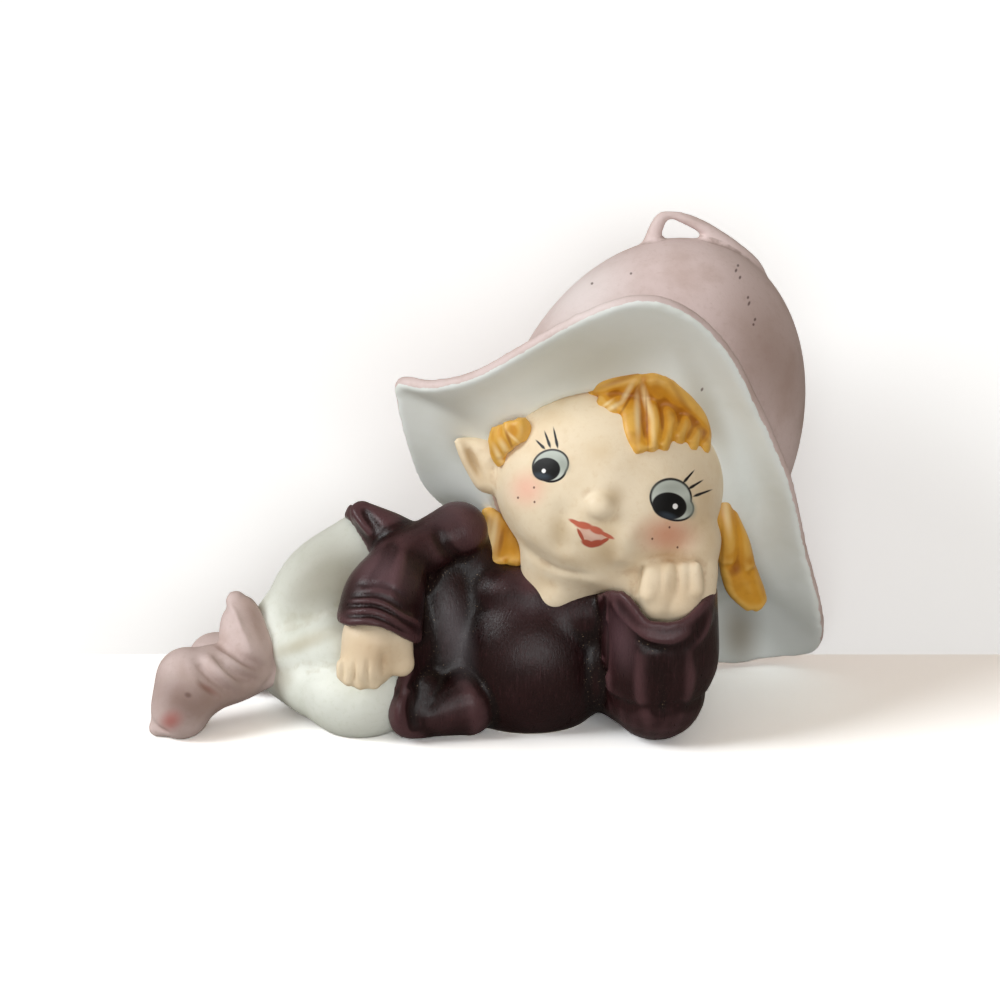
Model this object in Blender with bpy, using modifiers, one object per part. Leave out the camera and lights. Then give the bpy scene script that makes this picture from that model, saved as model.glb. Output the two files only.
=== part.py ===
"""Bisque porcelain pixie lying on one side, cast in one hollow piece.

Metres, +Z up. The table is z = 0, the viewer is at -Y, the feet are at -X and the hat is at +X.
The origin is on the flat underside of the belly. "Front" means towards the viewer.
"""
import math

import bpy
from mathutils import Matrix, Vector

# Casting
WALL = 0.0030             # slip thickness of the hollow parts
VENT_RADIUS = 0.0025      # drain hole through the underside
VENT_PLACE = (0.0090, 0.0010)
CLAY_VOXEL = 0.00045      # grid on which the pressed forms become one surface
CLAY_SOFTEN = 6           # smoothing passes, which round the seams as glaze and fettling do
CORE_VOXEL = 0.0012
FIGURE_TRIANGLES = 9700
CORE_TRIANGLES = 900

# Head, tilted onto the hand
HEAD_CENTRE = (0.0159, -0.0020, 0.0372)
HEAD_WIDTH = 0.0340
HEAD_DEPTH = 0.0310
HEAD_HEIGHT = 0.0312
HEAD_TILT = math.radians(16.7)
CHEEK_RADIUS = 0.0062
NOSE_RADIUS = 0.0026
EAR_MIDDLE = (-0.0041, -0.0036, 0.0406)
EAR_LENGTH = 0.0100
EAR_WIDTH = 0.0050
EAR_DEPTH = 0.0036
EAR_SLANT = math.radians(-32)
NECK_RADIUS = 0.0062
NECKLINE = (0.0090, -0.0066, 0.0218)
NECKLINE_RADIUS = 0.0045

# Hair
FRINGE_LOCK_RADIUS = 0.0021
SIDE_LOCK_RADIUS = 0.0016
TUFT_LOCK_RADIUS = 0.0017

# Hat
CROWN_CENTRE = (0.0224, 0.0135, 0.0399)
CROWN_WIDTH = 0.0452
CROWN_DEPTH = 0.0392
CROWN_HEIGHT = 0.0620
CROWN_LEAN = math.radians(20)
BRIM_THICKNESS = 0.0021
HAT_BAND_RADIUS = 0.0168
HAT_BAND_LEAN = math.radians(22)
TIP_END_RADIUS = 0.0011

# Body
BELLY = (0.0044, 0.0000, 0.0100)
BELLY_LENGTH = 0.0270
BELLY_DEPTH = 0.0262
BELLY_HEIGHT = 0.0278
WAIST = (-0.0085, 0.0010, 0.0118)
WAIST_LENGTH = 0.0230
WAIST_DEPTH = 0.0185
WAIST_HEIGHT = 0.0262
CHEST = (0.0170, 0.0010, 0.0112)
CHEST_RADIUS = 0.0105
SKIRT_THICKNESS = 0.0017

# Arm that lies along the side, with its hand on the thigh
NEAR_SHOULDER = (-0.0062, -0.0020, 0.0295)
NEAR_SHOULDER_RADIUS = 0.0045
NEAR_ELBOW = (-0.0144, -0.0066, 0.0263)
NEAR_ELBOW_RADIUS = 0.0045
NEAR_CUFF = (-0.0170, -0.0098, 0.0224)
NEAR_CUFF_RADIUS = 0.0053
NEAR_HAND = (-0.0180, -0.0124, 0.0140)
PALM_RADIUS = 0.0049
FINGER_RADIUS = 0.0010

# Arm that props the head, elbow on the table
PROP_ELBOW = (0.0230, -0.0100, 0.0074)
PROP_ELBOW_RADIUS = 0.0076
PROP_WRIST = (0.0238, -0.0110, 0.0172)
PROP_WRIST_RADIUS = 0.0070
PROP_FIST = (0.0244, -0.0146, 0.0240)
FIST_RADIUS = 0.0034
CUFF_THICKNESS = 0.0014

# Legs and boots
HIP = (-0.0165, 0.0025, 0.0172)
HIP_RADIUS = 0.0128
TOP_THIGH = (-0.0248, 0.0030, 0.0168)
TOP_THIGH_RADIUS = 0.0096
TOP_KNEE = (-0.0300, 0.0028, 0.0142)
TOP_KNEE_RADIUS = 0.0068
BOOT_TOP = (-0.0352, -0.0006, 0.0082)
BOOT_TOP_RADIUS = 0.0040
ANKLE = (-0.0403, -0.0032, 0.0075)
ANKLE_RADIUS = 0.0047
HEEL = (-0.0461, -0.0076, 0.0065)
HEEL_RADIUS = 0.0051
TOE = (-0.0473, -0.0092, 0.0041)
TOE_RADIUS = 0.0046
CUFF_POINT_LENGTH = 0.0076
LOW_THIGH = (-0.0200, -0.0068, 0.0062)
LOW_THIGH_RADIUS = 0.0073
LOW_KNEE = (-0.0275, -0.0045, 0.0062)
LOW_KNEE_RADIUS = 0.0052
REAR_ANKLE = (-0.0350, 0.0075, 0.0052)
REAR_ANKLE_RADIUS = 0.0042
REAR_TOE = (-0.0440, 0.0105, 0.0045)
REAR_TOE_RADIUS = 0.0042

BISQUE = (0.86, 0.84, 0.79)
BISQUE_ROUGHNESS = 0.5

# The brim's edge, seen from the front and going clockwise from the left tip, measured from the head's centre
BRIM_EDGE = (
    (-0.0310, -0.0010, 0.0157), (-0.0266, -0.0050, 0.0163), (-0.0198, -0.0082, 0.0186),
    (-0.0125, -0.0112, 0.0235), (-0.0047, -0.0132, 0.0285), (0.0036, -0.0140, 0.0315),
    (0.0107, -0.0130, 0.0292), (0.0168, -0.0100, 0.0226), (0.0214, -0.0060, 0.0134),
    (0.0267, -0.0010, 0.0009), (0.0301, 0.0050, -0.0120), (0.0335, 0.0110, -0.0245),
    (0.0339, 0.0188, -0.0332), (0.0278, 0.0225, -0.0358), (0.0178, 0.0205, -0.0361),
    (0.0050, 0.0215, -0.0310), (-0.0090, 0.0205, -0.0220), (-0.0196, 0.0160, -0.0120),
    (-0.0270, 0.0100, -0.0040), (-0.0297, 0.0045, 0.0045), (-0.0310, 0.0010, 0.0116),
)

# The hat's tip, which droops over into a loop: steps from the crown's centre, and radii
TIP_PATH = (
    (0.0163, 0.0025, 0.0199, 0.0025), (0.0153, 0.0025, 0.0246, 0.0020), (0.0122, 0.0025, 0.0281, 0.0015),
    (0.0094, 0.0025, 0.0303, 0.0012), (0.0075, 0.0025, 0.0317, 0.0010), (0.0051, 0.0025, 0.0328, 0.0009),
    (0.0031, 0.0025, 0.0333, 0.0007), (0.0018, 0.0025, 0.0329, 0.0009), (0.0010, 0.0025, 0.0315, 0.0011),
    (0.0004, 0.0025, 0.0298, 0.0012), (0.0001, 0.0025, 0.0280, 0.0016),
)

# The mouths of the sleeves, from the wrist that each one covers, clockwise from the right
PROP_SLEEVE_RIM = (
    (0.0072, -0.0010, 0.0069), (0.0058, -0.0044, 0.0066), (0.0038, -0.0062, 0.0051), (0.0016, -0.0072, 0.0041),
    (-0.0007, -0.0074, 0.0040), (-0.0027, -0.0072, 0.0045), (-0.0044, -0.0064, 0.0064), (-0.0059, -0.0048, 0.0076),
    (-0.0079, -0.0024, 0.0071), (-0.0091, 0.0000, 0.0057), (-0.0082, 0.0034, 0.0051), (-0.0052, 0.0056, 0.0046),
    (-0.0019, 0.0064, 0.0043), (0.0016, 0.0062, 0.0044), (0.0048, 0.0046, 0.0049), (0.0066, 0.0018, 0.0063),
)
NEAR_SLEEVE_RIM = (
    (0.0049, -0.0028, -0.0066), (0.0038, -0.0054, -0.0053), (0.0020, -0.0072, -0.0035), (-0.0003, -0.0082, -0.0021),
    (-0.0027, -0.0080, -0.0018), (-0.0048, -0.0068, -0.0024), (-0.0061, -0.0044, -0.0029),
    (-0.0062, -0.0014, -0.0027), (-0.0051, 0.0016, -0.0026), (-0.0028, 0.0034, -0.0024),
    (-0.0001, 0.0036, -0.0025), (0.0023, 0.0026, -0.0031), (0.0039, 0.0008, -0.0043), (0.0048, -0.0010, -0.0057),
)

# The tunic's flared hem, clockwise from its upper point
HEM_EDGE = (
    (-0.0228, 0.0020, 0.0315), (-0.0186, -0.0055, 0.0268), (-0.0152, -0.0105, 0.0195),
    (-0.0142, -0.0130, 0.0120), (-0.0156, -0.0125, 0.0060), (-0.0146, -0.0085, 0.0008),
    (-0.0140, 0.0010, 0.0002), (-0.0160, 0.0100, 0.0030), (-0.0190, 0.0132, 0.0130),
    (-0.0222, 0.0100, 0.0245),
)

TUBE_SEGMENTS = 8         # sides in a quarter turn of a limb's section
SPAN_STEPS = 6            # points on a smooth path between two of its own points
DOME_ANGLES = [math.radians(a) for a in (82, 62, 38, 16)]


def clear_scene():
    for old in list(bpy.data.objects):
        bpy.data.objects.remove(old, do_unlink=True)


def new_collection(name):
    made = bpy.data.collections.new(name)
    bpy.context.scene.collection.children.link(made)
    return made


def smooth_path(points, closed=False):
    """Catmull-Rom points through the given ones, of any number of coordinates."""
    knots = [Vector(p) for p in points]
    count = len(knots)
    path = []
    for i in range(count if closed else count - 1):
        if closed:
            a, b, c, d = (knots[(i + k) % count] for k in (-1, 0, 1, 2))
        else:
            b, c = knots[i], knots[i + 1]
            a = knots[i - 1] if i else b * 2 - c
            d = knots[i + 2] if i + 2 < count else c * 2 - b
        for step in range(SPAN_STEPS):
            t = step / SPAN_STEPS
            path.append(
                (b * 2 + (c - a) * t + (a * 2 - b * 5 + c * 4 - d) * t**2
                 + (b * 3 - a - c * 3 + d) * t**3) / 2
            )
    if not closed:
        path.append(knots[-1])
    return path


def ball(centre, size, turn=Matrix.Identity(3)):
    """An egg of the given full sizes."""
    bpy.ops.mesh.primitive_uv_sphere_add(segments=32, ring_count=20, radius=0.5)
    made = bpy.context.active_object
    shape = Matrix.Diagonal(Vector(size)).to_4x4()
    made.data.transform(Matrix.Translation(Vector(centre)) @ turn.to_4x4() @ shape)
    return made


def round_ball(centre, radius):
    return ball(centre, (2 * radius,) * 3)


def limb(points, radii):
    """A round tube that swells and narrows along a smooth path, with domed ends."""
    path = smooth_path([(*p, r) for p, r in zip(points, radii)])
    spots = [(Vector(p[:3]), p[3]) for p in path]
    start_out = (spots[0][0] - spots[1][0]).normalized()
    end_out = (spots[-1][0] - spots[-2][0]).normalized()

    def dome(spot, outward):
        place, radius = spot
        return [
            (place + outward * radius * math.sin(a), radius * math.cos(a)) for a in DOME_ANGLES
        ]

    spots = dome(spots[0], start_out) + spots + dome(spots[-1], end_out)[::-1]
    curve = bpy.data.curves.new("limb", "CURVE")
    curve.dimensions = "3D"
    curve.bevel_depth = 0.001
    curve.bevel_resolution = TUBE_SEGMENTS // 2
    curve.use_fill_caps = True
    spline = curve.splines.new("POLY")
    spline.points.add(len(spots) - 1)
    for point, (place, radius) in zip(spline.points, spots):
        point.co = (*place, 1)
        point.radius = radius / curve.bevel_depth
    made = bpy.data.objects.new("limb", curve)
    bpy.context.scene.collection.objects.link(made)
    return made


def sheet(rings, thickness, shift=0.0):
    """A shell of even thickness through closed rings of points. shift moves it off its middle surface."""
    loops = [smooth_path(ring, closed=True) for ring in rings]
    lines = [smooth_path(line) for line in zip(*loops)]
    rows, columns = len(lines[0]), len(lines)
    points = [lines[c][r] for r in range(rows) for c in range(columns)]
    faces = [
        (r * columns + c, r * columns + (c + 1) % columns,
         (r + 1) * columns + (c + 1) % columns, (r + 1) * columns + c)
        for r in range(rows - 1)
        for c in range(columns)
    ]
    mesh = bpy.data.meshes.new("sheet")
    mesh.from_pydata(points, [], faces)
    made = bpy.data.objects.new("sheet", mesh)
    bpy.context.scene.collection.objects.link(made)
    solidify = made.modifiers.new("wall", "SOLIDIFY")
    solidify.thickness = thickness
    solidify.offset = shift
    solidify.use_even_offset = True
    return made


def evaluated_mesh(obj):
    bpy.context.view_layer.update()
    return bpy.data.meshes.new_from_object(obj.evaluated_get(bpy.context.evaluated_depsgraph_get()))


def press_together(name, forms, voxel, soften, triangles):
    """Presses overlapping forms into one surface, softens its seams and thins its triangles."""
    points, faces = [], []
    for form in forms:
        mesh = evaluated_mesh(form)
        first = len(points)
        points += [form.matrix_world @ v.co for v in mesh.vertices]
        faces += [tuple(first + i for i in face.vertices) for face in mesh.polygons]
        bpy.data.meshes.remove(mesh)
    clay = bpy.data.meshes.new(name)
    clay.from_pydata(points, [], faces)
    made = bpy.data.objects.new(name, clay)
    bpy.context.scene.collection.objects.link(made)
    remesh = made.modifiers.new("press", "REMESH")
    remesh.mode = "VOXEL"
    remesh.voxel_size = voxel
    smooth = made.modifiers.new("soften", "SMOOTH")
    smooth.factor = 0.5
    smooth.iterations = soften
    dense = evaluated_mesh(made)
    dense.calc_loop_triangles()
    thin = made.modifiers.new("thin", "DECIMATE")
    thin.ratio = min(1.0, triangles / len(dense.loop_triangles))
    bake_modifiers(made)
    bpy.data.meshes.remove(dense)
    return made


def bake_modifiers(obj):
    mesh = evaluated_mesh(obj)
    obj.modifiers.clear()
    obj.data = mesh


def cut_away(obj, cutter):
    cut = obj.modifiers.new("cut", "BOOLEAN")
    cut.operation = "DIFFERENCE"
    cut.solver = "EXACT"
    cut.object = cutter
    bake_modifiers(obj)
    cutter.hide_render = True
    cutter.display_type = "WIRE"


def head_turn():
    return Matrix.Rotation(HEAD_TILT, 3, "Y")


def on_head(side, front, up):
    """A place in the head's own frame, as shares of its half width, depth and height."""
    share = Vector((side * HEAD_WIDTH / 2, -front * HEAD_DEPTH / 2, up * HEAD_HEIGHT / 2))
    return Vector(HEAD_CENTRE) + head_turn() @ share


def on_face(side, up, proud=0.0):
    """A place on the face's surface, or proud of it by a length."""
    front = math.sqrt(max(0.0, 1 - side**2 - up**2))
    place = on_head(side, front, up)
    return place + (place - Vector(HEAD_CENTRE)).normalized() * proud


def head_forms():
    head, middle = Vector(HEAD_CENTRE), Vector(EAR_MIDDLE)
    ear_turn = Matrix.Rotation(EAR_SLANT, 3, "Y")
    ear_axis = ear_turn @ Vector((0, 0, 1))
    return [
        ball(HEAD_CENTRE, (HEAD_WIDTH, HEAD_DEPTH, HEAD_HEIGHT), head_turn()),
        limb([head + Vector((0.0118, -0.0065, -0.0069)), head + Vector((0.0110, -0.0070, -0.0098))],
             [CHEEK_RADIUS * 0.74, CHEEK_RADIUS * 0.77]),
        round_ball(on_face(-0.50, -0.36, -CHEEK_RADIUS * 0.84), CHEEK_RADIUS),
        round_ball(on_face(0.45, -0.34, -CHEEK_RADIUS * 0.84), CHEEK_RADIUS),
        round_ball(on_face(0.23, -0.36, -CHEEK_RADIUS * 0.20), CHEEK_RADIUS * 0.36),
        round_ball(on_face(-0.08, -0.58, -CHEEK_RADIUS * 0.84), CHEEK_RADIUS),
        round_ball(on_face(-0.085, 0.09, -NOSE_RADIUS * 0.15), NOSE_RADIUS),
        ball(middle, (EAR_WIDTH, EAR_DEPTH, EAR_LENGTH), ear_turn),
        limb([middle, middle + ear_axis * EAR_LENGTH * 0.58], [EAR_DEPTH * 0.5, EAR_DEPTH * 0.16]),
        limb([middle - ear_axis * EAR_LENGTH * 0.15, on_head(-0.85, 0.0, -0.10)],
             [EAR_DEPTH * 0.6, EAR_LENGTH * 0.36]),
        limb([on_head(-0.1, 0.1, -0.75), NECKLINE], [NECK_RADIUS, NECKLINE_RADIUS]),
    ]


def ear_hollow():
    place = Vector(EAR_MIDDLE) + Vector((0.0002, -EAR_DEPTH * 0.52, 0.0002))
    size = (EAR_WIDTH * 0.52, EAR_DEPTH * 0.7, EAR_LENGTH * 0.66)
    return ball(place, size, Matrix.Rotation(EAR_SLANT, 3, "Y"))


def hand_forms():
    """Fingers are laid side by side on the front of each palm, and the seams between them stay."""
    palm, fist = Vector(NEAR_HAND), Vector(PROP_FIST)
    forms = []
    for middle, rows in (
        (palm, (
            ((-0.0004, 0.0000, 0.0022), (-0.0013, -0.0008, -0.0006), PALM_RADIUS, PALM_RADIUS * 0.86),
            ((0.0019, -0.0002, 0.0020), (0.0035, -0.0011, -0.0009), PALM_RADIUS * 0.80, FINGER_RADIUS * 2.1),
            ((-0.0051, -0.0029, -0.0004), (-0.0052, -0.0031, -0.0024), FINGER_RADIUS * 0.8, FINGER_RADIUS * 0.7),
            ((-0.0040, -0.0029, -0.0007), (-0.0041, -0.0031, -0.0030), FINGER_RADIUS, FINGER_RADIUS * 0.9),
            ((-0.0022, -0.0029, -0.0009), (-0.0023, -0.0031, -0.0035), FINGER_RADIUS * 1.1, FINGER_RADIUS),
            ((-0.0002, -0.0029, -0.0007), (-0.0004, -0.0031, -0.0033), FINGER_RADIUS * 1.2, FINGER_RADIUS * 1.1),
        )),
        (fist, (
            ((-0.0015, 0.0010, -0.0011), (-0.0010, 0.0008, 0.0023), FIST_RADIUS, FIST_RADIUS * 0.9),
            ((0.0017, 0.0010, -0.0011), (0.0022, 0.0014, 0.0024), FIST_RADIUS, FIST_RADIUS * 0.9),
            ((0.0041, 0.0022, -0.0003), (0.0048, 0.0036, 0.0029), FIST_RADIUS * 0.9, FIST_RADIUS * 0.8),
            ((-0.0029, -0.0013, 0.0006), (-0.0025, -0.0007, 0.0038), FINGER_RADIUS * 1.4, FINGER_RADIUS * 1.2),
            ((-0.0002, -0.0013, 0.0006), (-0.0001, -0.0007, 0.0044), FINGER_RADIUS * 1.1, FINGER_RADIUS),
            ((0.0020, -0.0013, 0.0008), (0.0021, -0.0007, 0.0045), FINGER_RADIUS, FINGER_RADIUS * 0.9),
            ((0.0040, -0.0013, 0.0012), (0.0038, -0.0007, 0.0045), FINGER_RADIUS, FINGER_RADIUS * 0.9),
        )),
    ):
        for start, end, thick, thin in rows:
            forms.append(limb([middle + Vector(start), middle + Vector(end)], [thick, thin]))
    forms.append(limb([PROP_WRIST, fist], [FIST_RADIUS, FIST_RADIUS]))
    forms.append(limb([NEAR_CUFF, palm], [PALM_RADIUS * 0.8, PALM_RADIUS * 0.8]))
    return forms


def hair_forms():
    """Carved locks: the fringe fans out from its parting, the rest hangs beside the face."""
    def lock(points, radius):
        radii = [radius * 0.9] + [radius] * (len(points) - 2) + [radius * 0.42]
        return limb([on_face(side, up, radius * 0.12) for side, up in points], radii)

    fringe = (
        ((-0.02, 1.00), (-0.22, 0.96), (-0.44, 0.87)),
        ((-0.02, 0.99), (-0.17, 0.90), (-0.30, 0.82)),
        ((-0.02, 0.98), (-0.08, 0.88), (-0.14, 0.79)),
        ((0.00, 1.00), (-0.01, 0.80), (0.11, 0.58)),
        ((0.06, 1.00), (0.15, 0.80), (0.19, 0.58)),
        ((0.12, 1.00), (0.28, 0.84), (0.29, 0.63)),
        ((0.20, 0.98), (0.41, 0.86), (0.47, 0.69)),
        ((0.28, 0.96), (0.55, 0.80), (0.62, 0.63)),
        ((0.36, 0.92), (0.64, 0.75), (0.71, 0.60)),
    )
    forms = [lock(points, FRINGE_LOCK_RADIUS) for points in fringe]
    beside = Vector(HEAD_CENTRE)
    tuft = (
        ((-0.0120, -0.0060, 0.0101), (-0.0134, -0.0060, 0.0075), (-0.0150, -0.0055, 0.0048)),
        ((-0.0137, -0.0055, 0.0107), (-0.0156, -0.0055, 0.0083), (-0.0160, -0.0055, 0.0050)),
        ((-0.0152, -0.0050, 0.0107), (-0.0171, -0.0050, 0.0086), (-0.0168, -0.0050, 0.0062)),
    )
    radii = [TUFT_LOCK_RADIUS * 0.8, TUFT_LOCK_RADIUS, TUFT_LOCK_RADIUS * 0.5]
    forms += [limb([beside + Vector(p) for p in places], radii) for places in tuft]
    side_locks = (
        ((0.0164, 0.0002, -0.0017), (0.0171, -0.0006, -0.0051), (0.0180, -0.0006, -0.0092), (0.0176, -0.0004, -0.0122)),
        ((0.0171, 0.0012, -0.0022), (0.0186, 0.0006, -0.0062), (0.0200, 0.0006, -0.0102), (0.0212, 0.0008, -0.0136)),
        ((0.0175, 0.0006, -0.0109), (0.0180, 0.0004, -0.0136), (0.0192, 0.0010, -0.0170), (0.0215, 0.0018, -0.0198)),
        ((0.0192, 0.0014, -0.0114), (0.0200, 0.0012, -0.0148), (0.0215, 0.0018, -0.0179), (0.0229, 0.0022, -0.0203)),
    )
    for places in side_locks:
        forms.append(limb([beside + Vector(p) for p in places],
                          [SIDE_LOCK_RADIUS * share for share in (0.5, 1.0, 1.0, 0.5)]))
    nape = beside + Vector((-0.0172, -0.0012, -0.0036))
    for drift in (-0.0010, 0.0008, 0.0026):
        end = nape + Vector((drift, -0.0005, -0.0070))
        forms.append(limb([nape + Vector((drift * 0.5, 0, 0)), end],
                          [TUFT_LOCK_RADIUS * 0.7, TUFT_LOCK_RADIUS * 0.7]))
    return forms


def band_ring():
    """Where the brim leaves the head: a ring round the face that leans forward at its top."""
    centre = Vector(HEAD_CENTRE) + Vector((0, HEAD_DEPTH * 0.04, 0))
    lean = Matrix.Rotation(HAT_BAND_LEAN, 3, "X")
    ring = []
    for edge in BRIM_EDGE:
        outward = Vector((edge[0], 0, edge[2])).normalized()
        ring.append(centre + lean @ (outward * HAT_BAND_RADIUS))
    return ring


def brim_rings():
    band = band_ring()
    edge = [Vector(HEAD_CENTRE) + Vector(point) for point in BRIM_EDGE]
    middle = []
    for inner, outer in zip(band, edge):
        sag = (inner - Vector(HEAD_CENTRE)).normalized() * 0.0006 + Vector((0, 0.0016, 0))
        middle.append(inner.lerp(outer, 0.5) + sag)
    return [band, middle, edge]


def crown_turn():
    return Matrix.Rotation(CROWN_LEAN, 3, "Y")


def hat_base(inset=0.0):
    """The part of the crown that comes up from the band behind the face."""
    band = Vector(HEAD_CENTRE) + Vector((0.0025, 0.0070, 0.0020))
    crown = Vector(CROWN_CENTRE) + Vector((-0.0020, -0.0010, 0.0000))
    return limb([band, crown], [HAT_BAND_RADIUS * 0.94 - inset, CROWN_DEPTH * 0.475 - inset])


def hat_forms():
    crown = Vector(CROWN_CENTRE)
    return [
        ball(crown, (CROWN_WIDTH, CROWN_DEPTH, CROWN_HEIGHT), crown_turn()),
        hat_base(),
        limb([crown + Vector(step[:3]) for step in TIP_PATH], [step[3] for step in TIP_PATH]),
        sheet(brim_rings(), BRIM_THICKNESS),
    ]


def tunic_forms():
    belly, waist, chest = Vector(BELLY), Vector(WAIST), Vector(CHEST)
    collar = Vector(NECKLINE) + Vector((0, 0.0025, -0.0040))
    hem = [Vector(p) for p in HEM_EDGE]
    waist_ring = []
    for i in range(len(hem)):
        angle = -2 * math.pi * i / len(hem)
        across, up = math.sin(angle) * WAIST_DEPTH * 0.46, math.cos(angle) * WAIST_HEIGHT * 0.46
        waist_ring.append(waist + Vector((0.0010, across, up + 0.0010)))
    middle = [a.lerp(b, 0.5) - Vector((0, (b - a).y * 0.12, 0)) for a, b in zip(waist_ring, hem)]
    flap = hem[0] + Vector((0.0024, -0.0028, 0.0004))
    lobe = hem[4] + Vector((0.0019, -0.0001, 0.0022))
    return [
        ball(belly, (BELLY_LENGTH, BELLY_DEPTH, BELLY_HEIGHT)),
        ball(waist, (WAIST_LENGTH, WAIST_DEPTH, WAIST_HEIGHT)),
        limb([belly, chest], [CHEST_RADIUS, CHEST_RADIUS]),
        limb([belly + Vector((0, 0, 0.004)), collar], [CHEST_RADIUS, NECK_RADIUS * 0.9]),
        limb([collar, Vector(PROP_WRIST) + Vector((-0.0066, 0.0050, 0.0016))],
             [NECK_RADIUS * 0.9, NECK_RADIUS * 0.8]),
        limb([belly + Vector((-0.0040, 0.0020, 0.0050)), NEAR_SHOULDER],
             [CHEST_RADIUS * 0.86, NEAR_SHOULDER_RADIUS]),
        limb([Vector(NEAR_SHOULDER) + Vector((0.0020, 0.0005, -0.0070)), collar + Vector((-0.004, 0, 0.004))],
             [NEAR_SHOULDER_RADIUS, NEAR_SHOULDER_RADIUS]),
        limb([NEAR_SHOULDER, NEAR_ELBOW, NEAR_CUFF], [NEAR_SHOULDER_RADIUS, NEAR_ELBOW_RADIUS, NEAR_CUFF_RADIUS]),
        limb([NEAR_ELBOW, waist], [NEAR_ELBOW_RADIUS * 0.9, WAIST_DEPTH * 0.4]),
        sheet(near_cuff_rings(), CUFF_THICKNESS),
        limb([flap, flap + Vector((0.0036, -0.0018, -0.0020)), flap + Vector((0.0074, -0.0026, -0.0042))],
             [0.0019, 0.0030, 0.0034]),
        limb([lobe, lobe + Vector((-0.0007, -0.0002, -0.0027)), lobe + Vector((-0.0002, 0.0004, -0.0051)),
              lobe + Vector((0.0026, 0.0022, -0.0054)), lobe + Vector((0.0057, 0.0042, -0.0052))],
             [0.0013, 0.0020, 0.0022, 0.0027, 0.0030]),
        sheet([waist_ring, middle, hem], SKIRT_THICKNESS),
        limb([chest, PROP_ELBOW], [CHEST_RADIUS, PROP_ELBOW_RADIUS]),
        limb([PROP_ELBOW, Vector(PROP_WRIST) + Vector((0, 0, -0.0046))], [PROP_ELBOW_RADIUS, PROP_WRIST_RADIUS]),
        limb([(0.0272, -0.0035, 0.0095), (0.0278, -0.0045, 0.0150)], [0.0048, 0.0044]),
        sheet(prop_cuff_rings(), CUFF_THICKNESS),
    ]


def near_cuff_rings():
    """The bell of the upper sleeve, down to its slanting mouth over the back of the hand."""
    elbow, cuff = Vector(NEAR_ELBOW), Vector(NEAR_CUFF)
    mouth = [cuff + Vector(point) for point in NEAR_SLEEVE_RIM]
    along = (sum(mouth, Vector()) / len(mouth) - elbow).normalized()
    side = (Vector((1, 0, 0)) - along * along.x).normalized()
    front = side.cross(along)
    rings = []
    for place, radius in ((elbow, NEAR_ELBOW_RADIUS * 0.98), (cuff, NEAR_CUFF_RADIUS)):
        angles = [2 * math.pi * i / len(mouth) for i in range(len(mouth))]
        rings.append([place + (side * math.cos(a) + front * math.sin(a)) * radius for a in angles])
    return [*rings, mouth]


def prop_cuff_rings():
    """The wide mouth of the sleeve, low in front of the fist and drawn up on both sides of it."""
    wrist = Vector(PROP_WRIST)
    rings = []
    for rise, spread in ((-0.0087, 1.03), (-0.0038, 1.14)):
        ring = []
        for i in range(len(PROP_SLEEVE_RIM)):
            angle = 2 * math.pi * i / len(PROP_SLEEVE_RIM)
            radius = PROP_WRIST_RADIUS * spread
            ring.append(wrist + Vector((math.cos(angle) * radius, -math.sin(angle) * radius * 0.88, rise)))
        rings.append(ring)
    return [*rings, [wrist + Vector(point) for point in PROP_SLEEVE_RIM]]


def trouser_forms():
    calf = Vector(TOP_KNEE)
    return [
        limb([HIP, TOP_THIGH, TOP_KNEE, BOOT_TOP],
             [HIP_RADIUS, TOP_THIGH_RADIUS, TOP_KNEE_RADIUS, BOOT_TOP_RADIUS * 0.92]),
        limb([Vector(HIP) + Vector((-0.0021, -0.0005, 0.0054)), calf + Vector((0.0032, -0.0002, 0.0051)),
              calf + Vector((-0.0014, -0.0004, -0.0006))],
             [HIP_RADIUS * 0.67, TOP_KNEE_RADIUS, TOP_KNEE_RADIUS * 0.76]),
        limb([WAIST, LOW_THIGH, LOW_KNEE], [LOW_THIGH_RADIUS, LOW_THIGH_RADIUS, LOW_KNEE_RADIUS]),
        limb([LOW_KNEE, REAR_ANKLE], [LOW_KNEE_RADIUS, REAR_ANKLE_RADIUS]),
    ]


def boot_forms():
    top, ankle, heel, toe = (Vector(p) for p in (BOOT_TOP, ANKLE, HEEL, TOE))
    leg = (top - ankle).normalized()
    point_base = top + Vector((-0.0026, -0.0012, 0.0021))
    forms = [
        limb([heel, heel.lerp(ankle, 0.5) + Vector((0, 0, 0.0005)), ankle, top],
             [HEEL_RADIUS, HEEL_RADIUS * 0.98, ANKLE_RADIUS, BOOT_TOP_RADIUS]),
        limb([toe, toe + Vector((0.0008, 0.0026, 0.0039))], [TOE_RADIUS, TOE_RADIUS * 1.03]),
        limb([point_base, point_base + Vector((-0.0007, 0.0010, CUFF_POINT_LENGTH * 0.42)),
              point_base + Vector((-0.0012, 0.0018, CUFF_POINT_LENGTH * 0.82)),
              point_base + Vector((-0.0018, 0.0020, CUFF_POINT_LENGTH))], [0.0044, 0.0038, 0.0027, 0.0015]),
        limb([REAR_ANKLE, REAR_TOE], [REAR_ANKLE_RADIUS, REAR_TOE_RADIUS]),
    ]
    for i in range(3):
        place = ankle + leg * (0.0021 * (i - 1.2))
        forms.append(crease_ring(place, leg, ANKLE_RADIUS - 0.0001, 0.0007))
    return forms


def crease_ring(place, along, radius, thickness):
    bpy.ops.mesh.primitive_torus_add(
        major_radius=radius, minor_radius=thickness, major_segments=28, minor_segments=8
    )
    made = bpy.context.active_object
    made.data.transform(Matrix.Translation(place) @ along.to_track_quat("Z", "Y").to_matrix().to_4x4())
    return made


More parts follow.
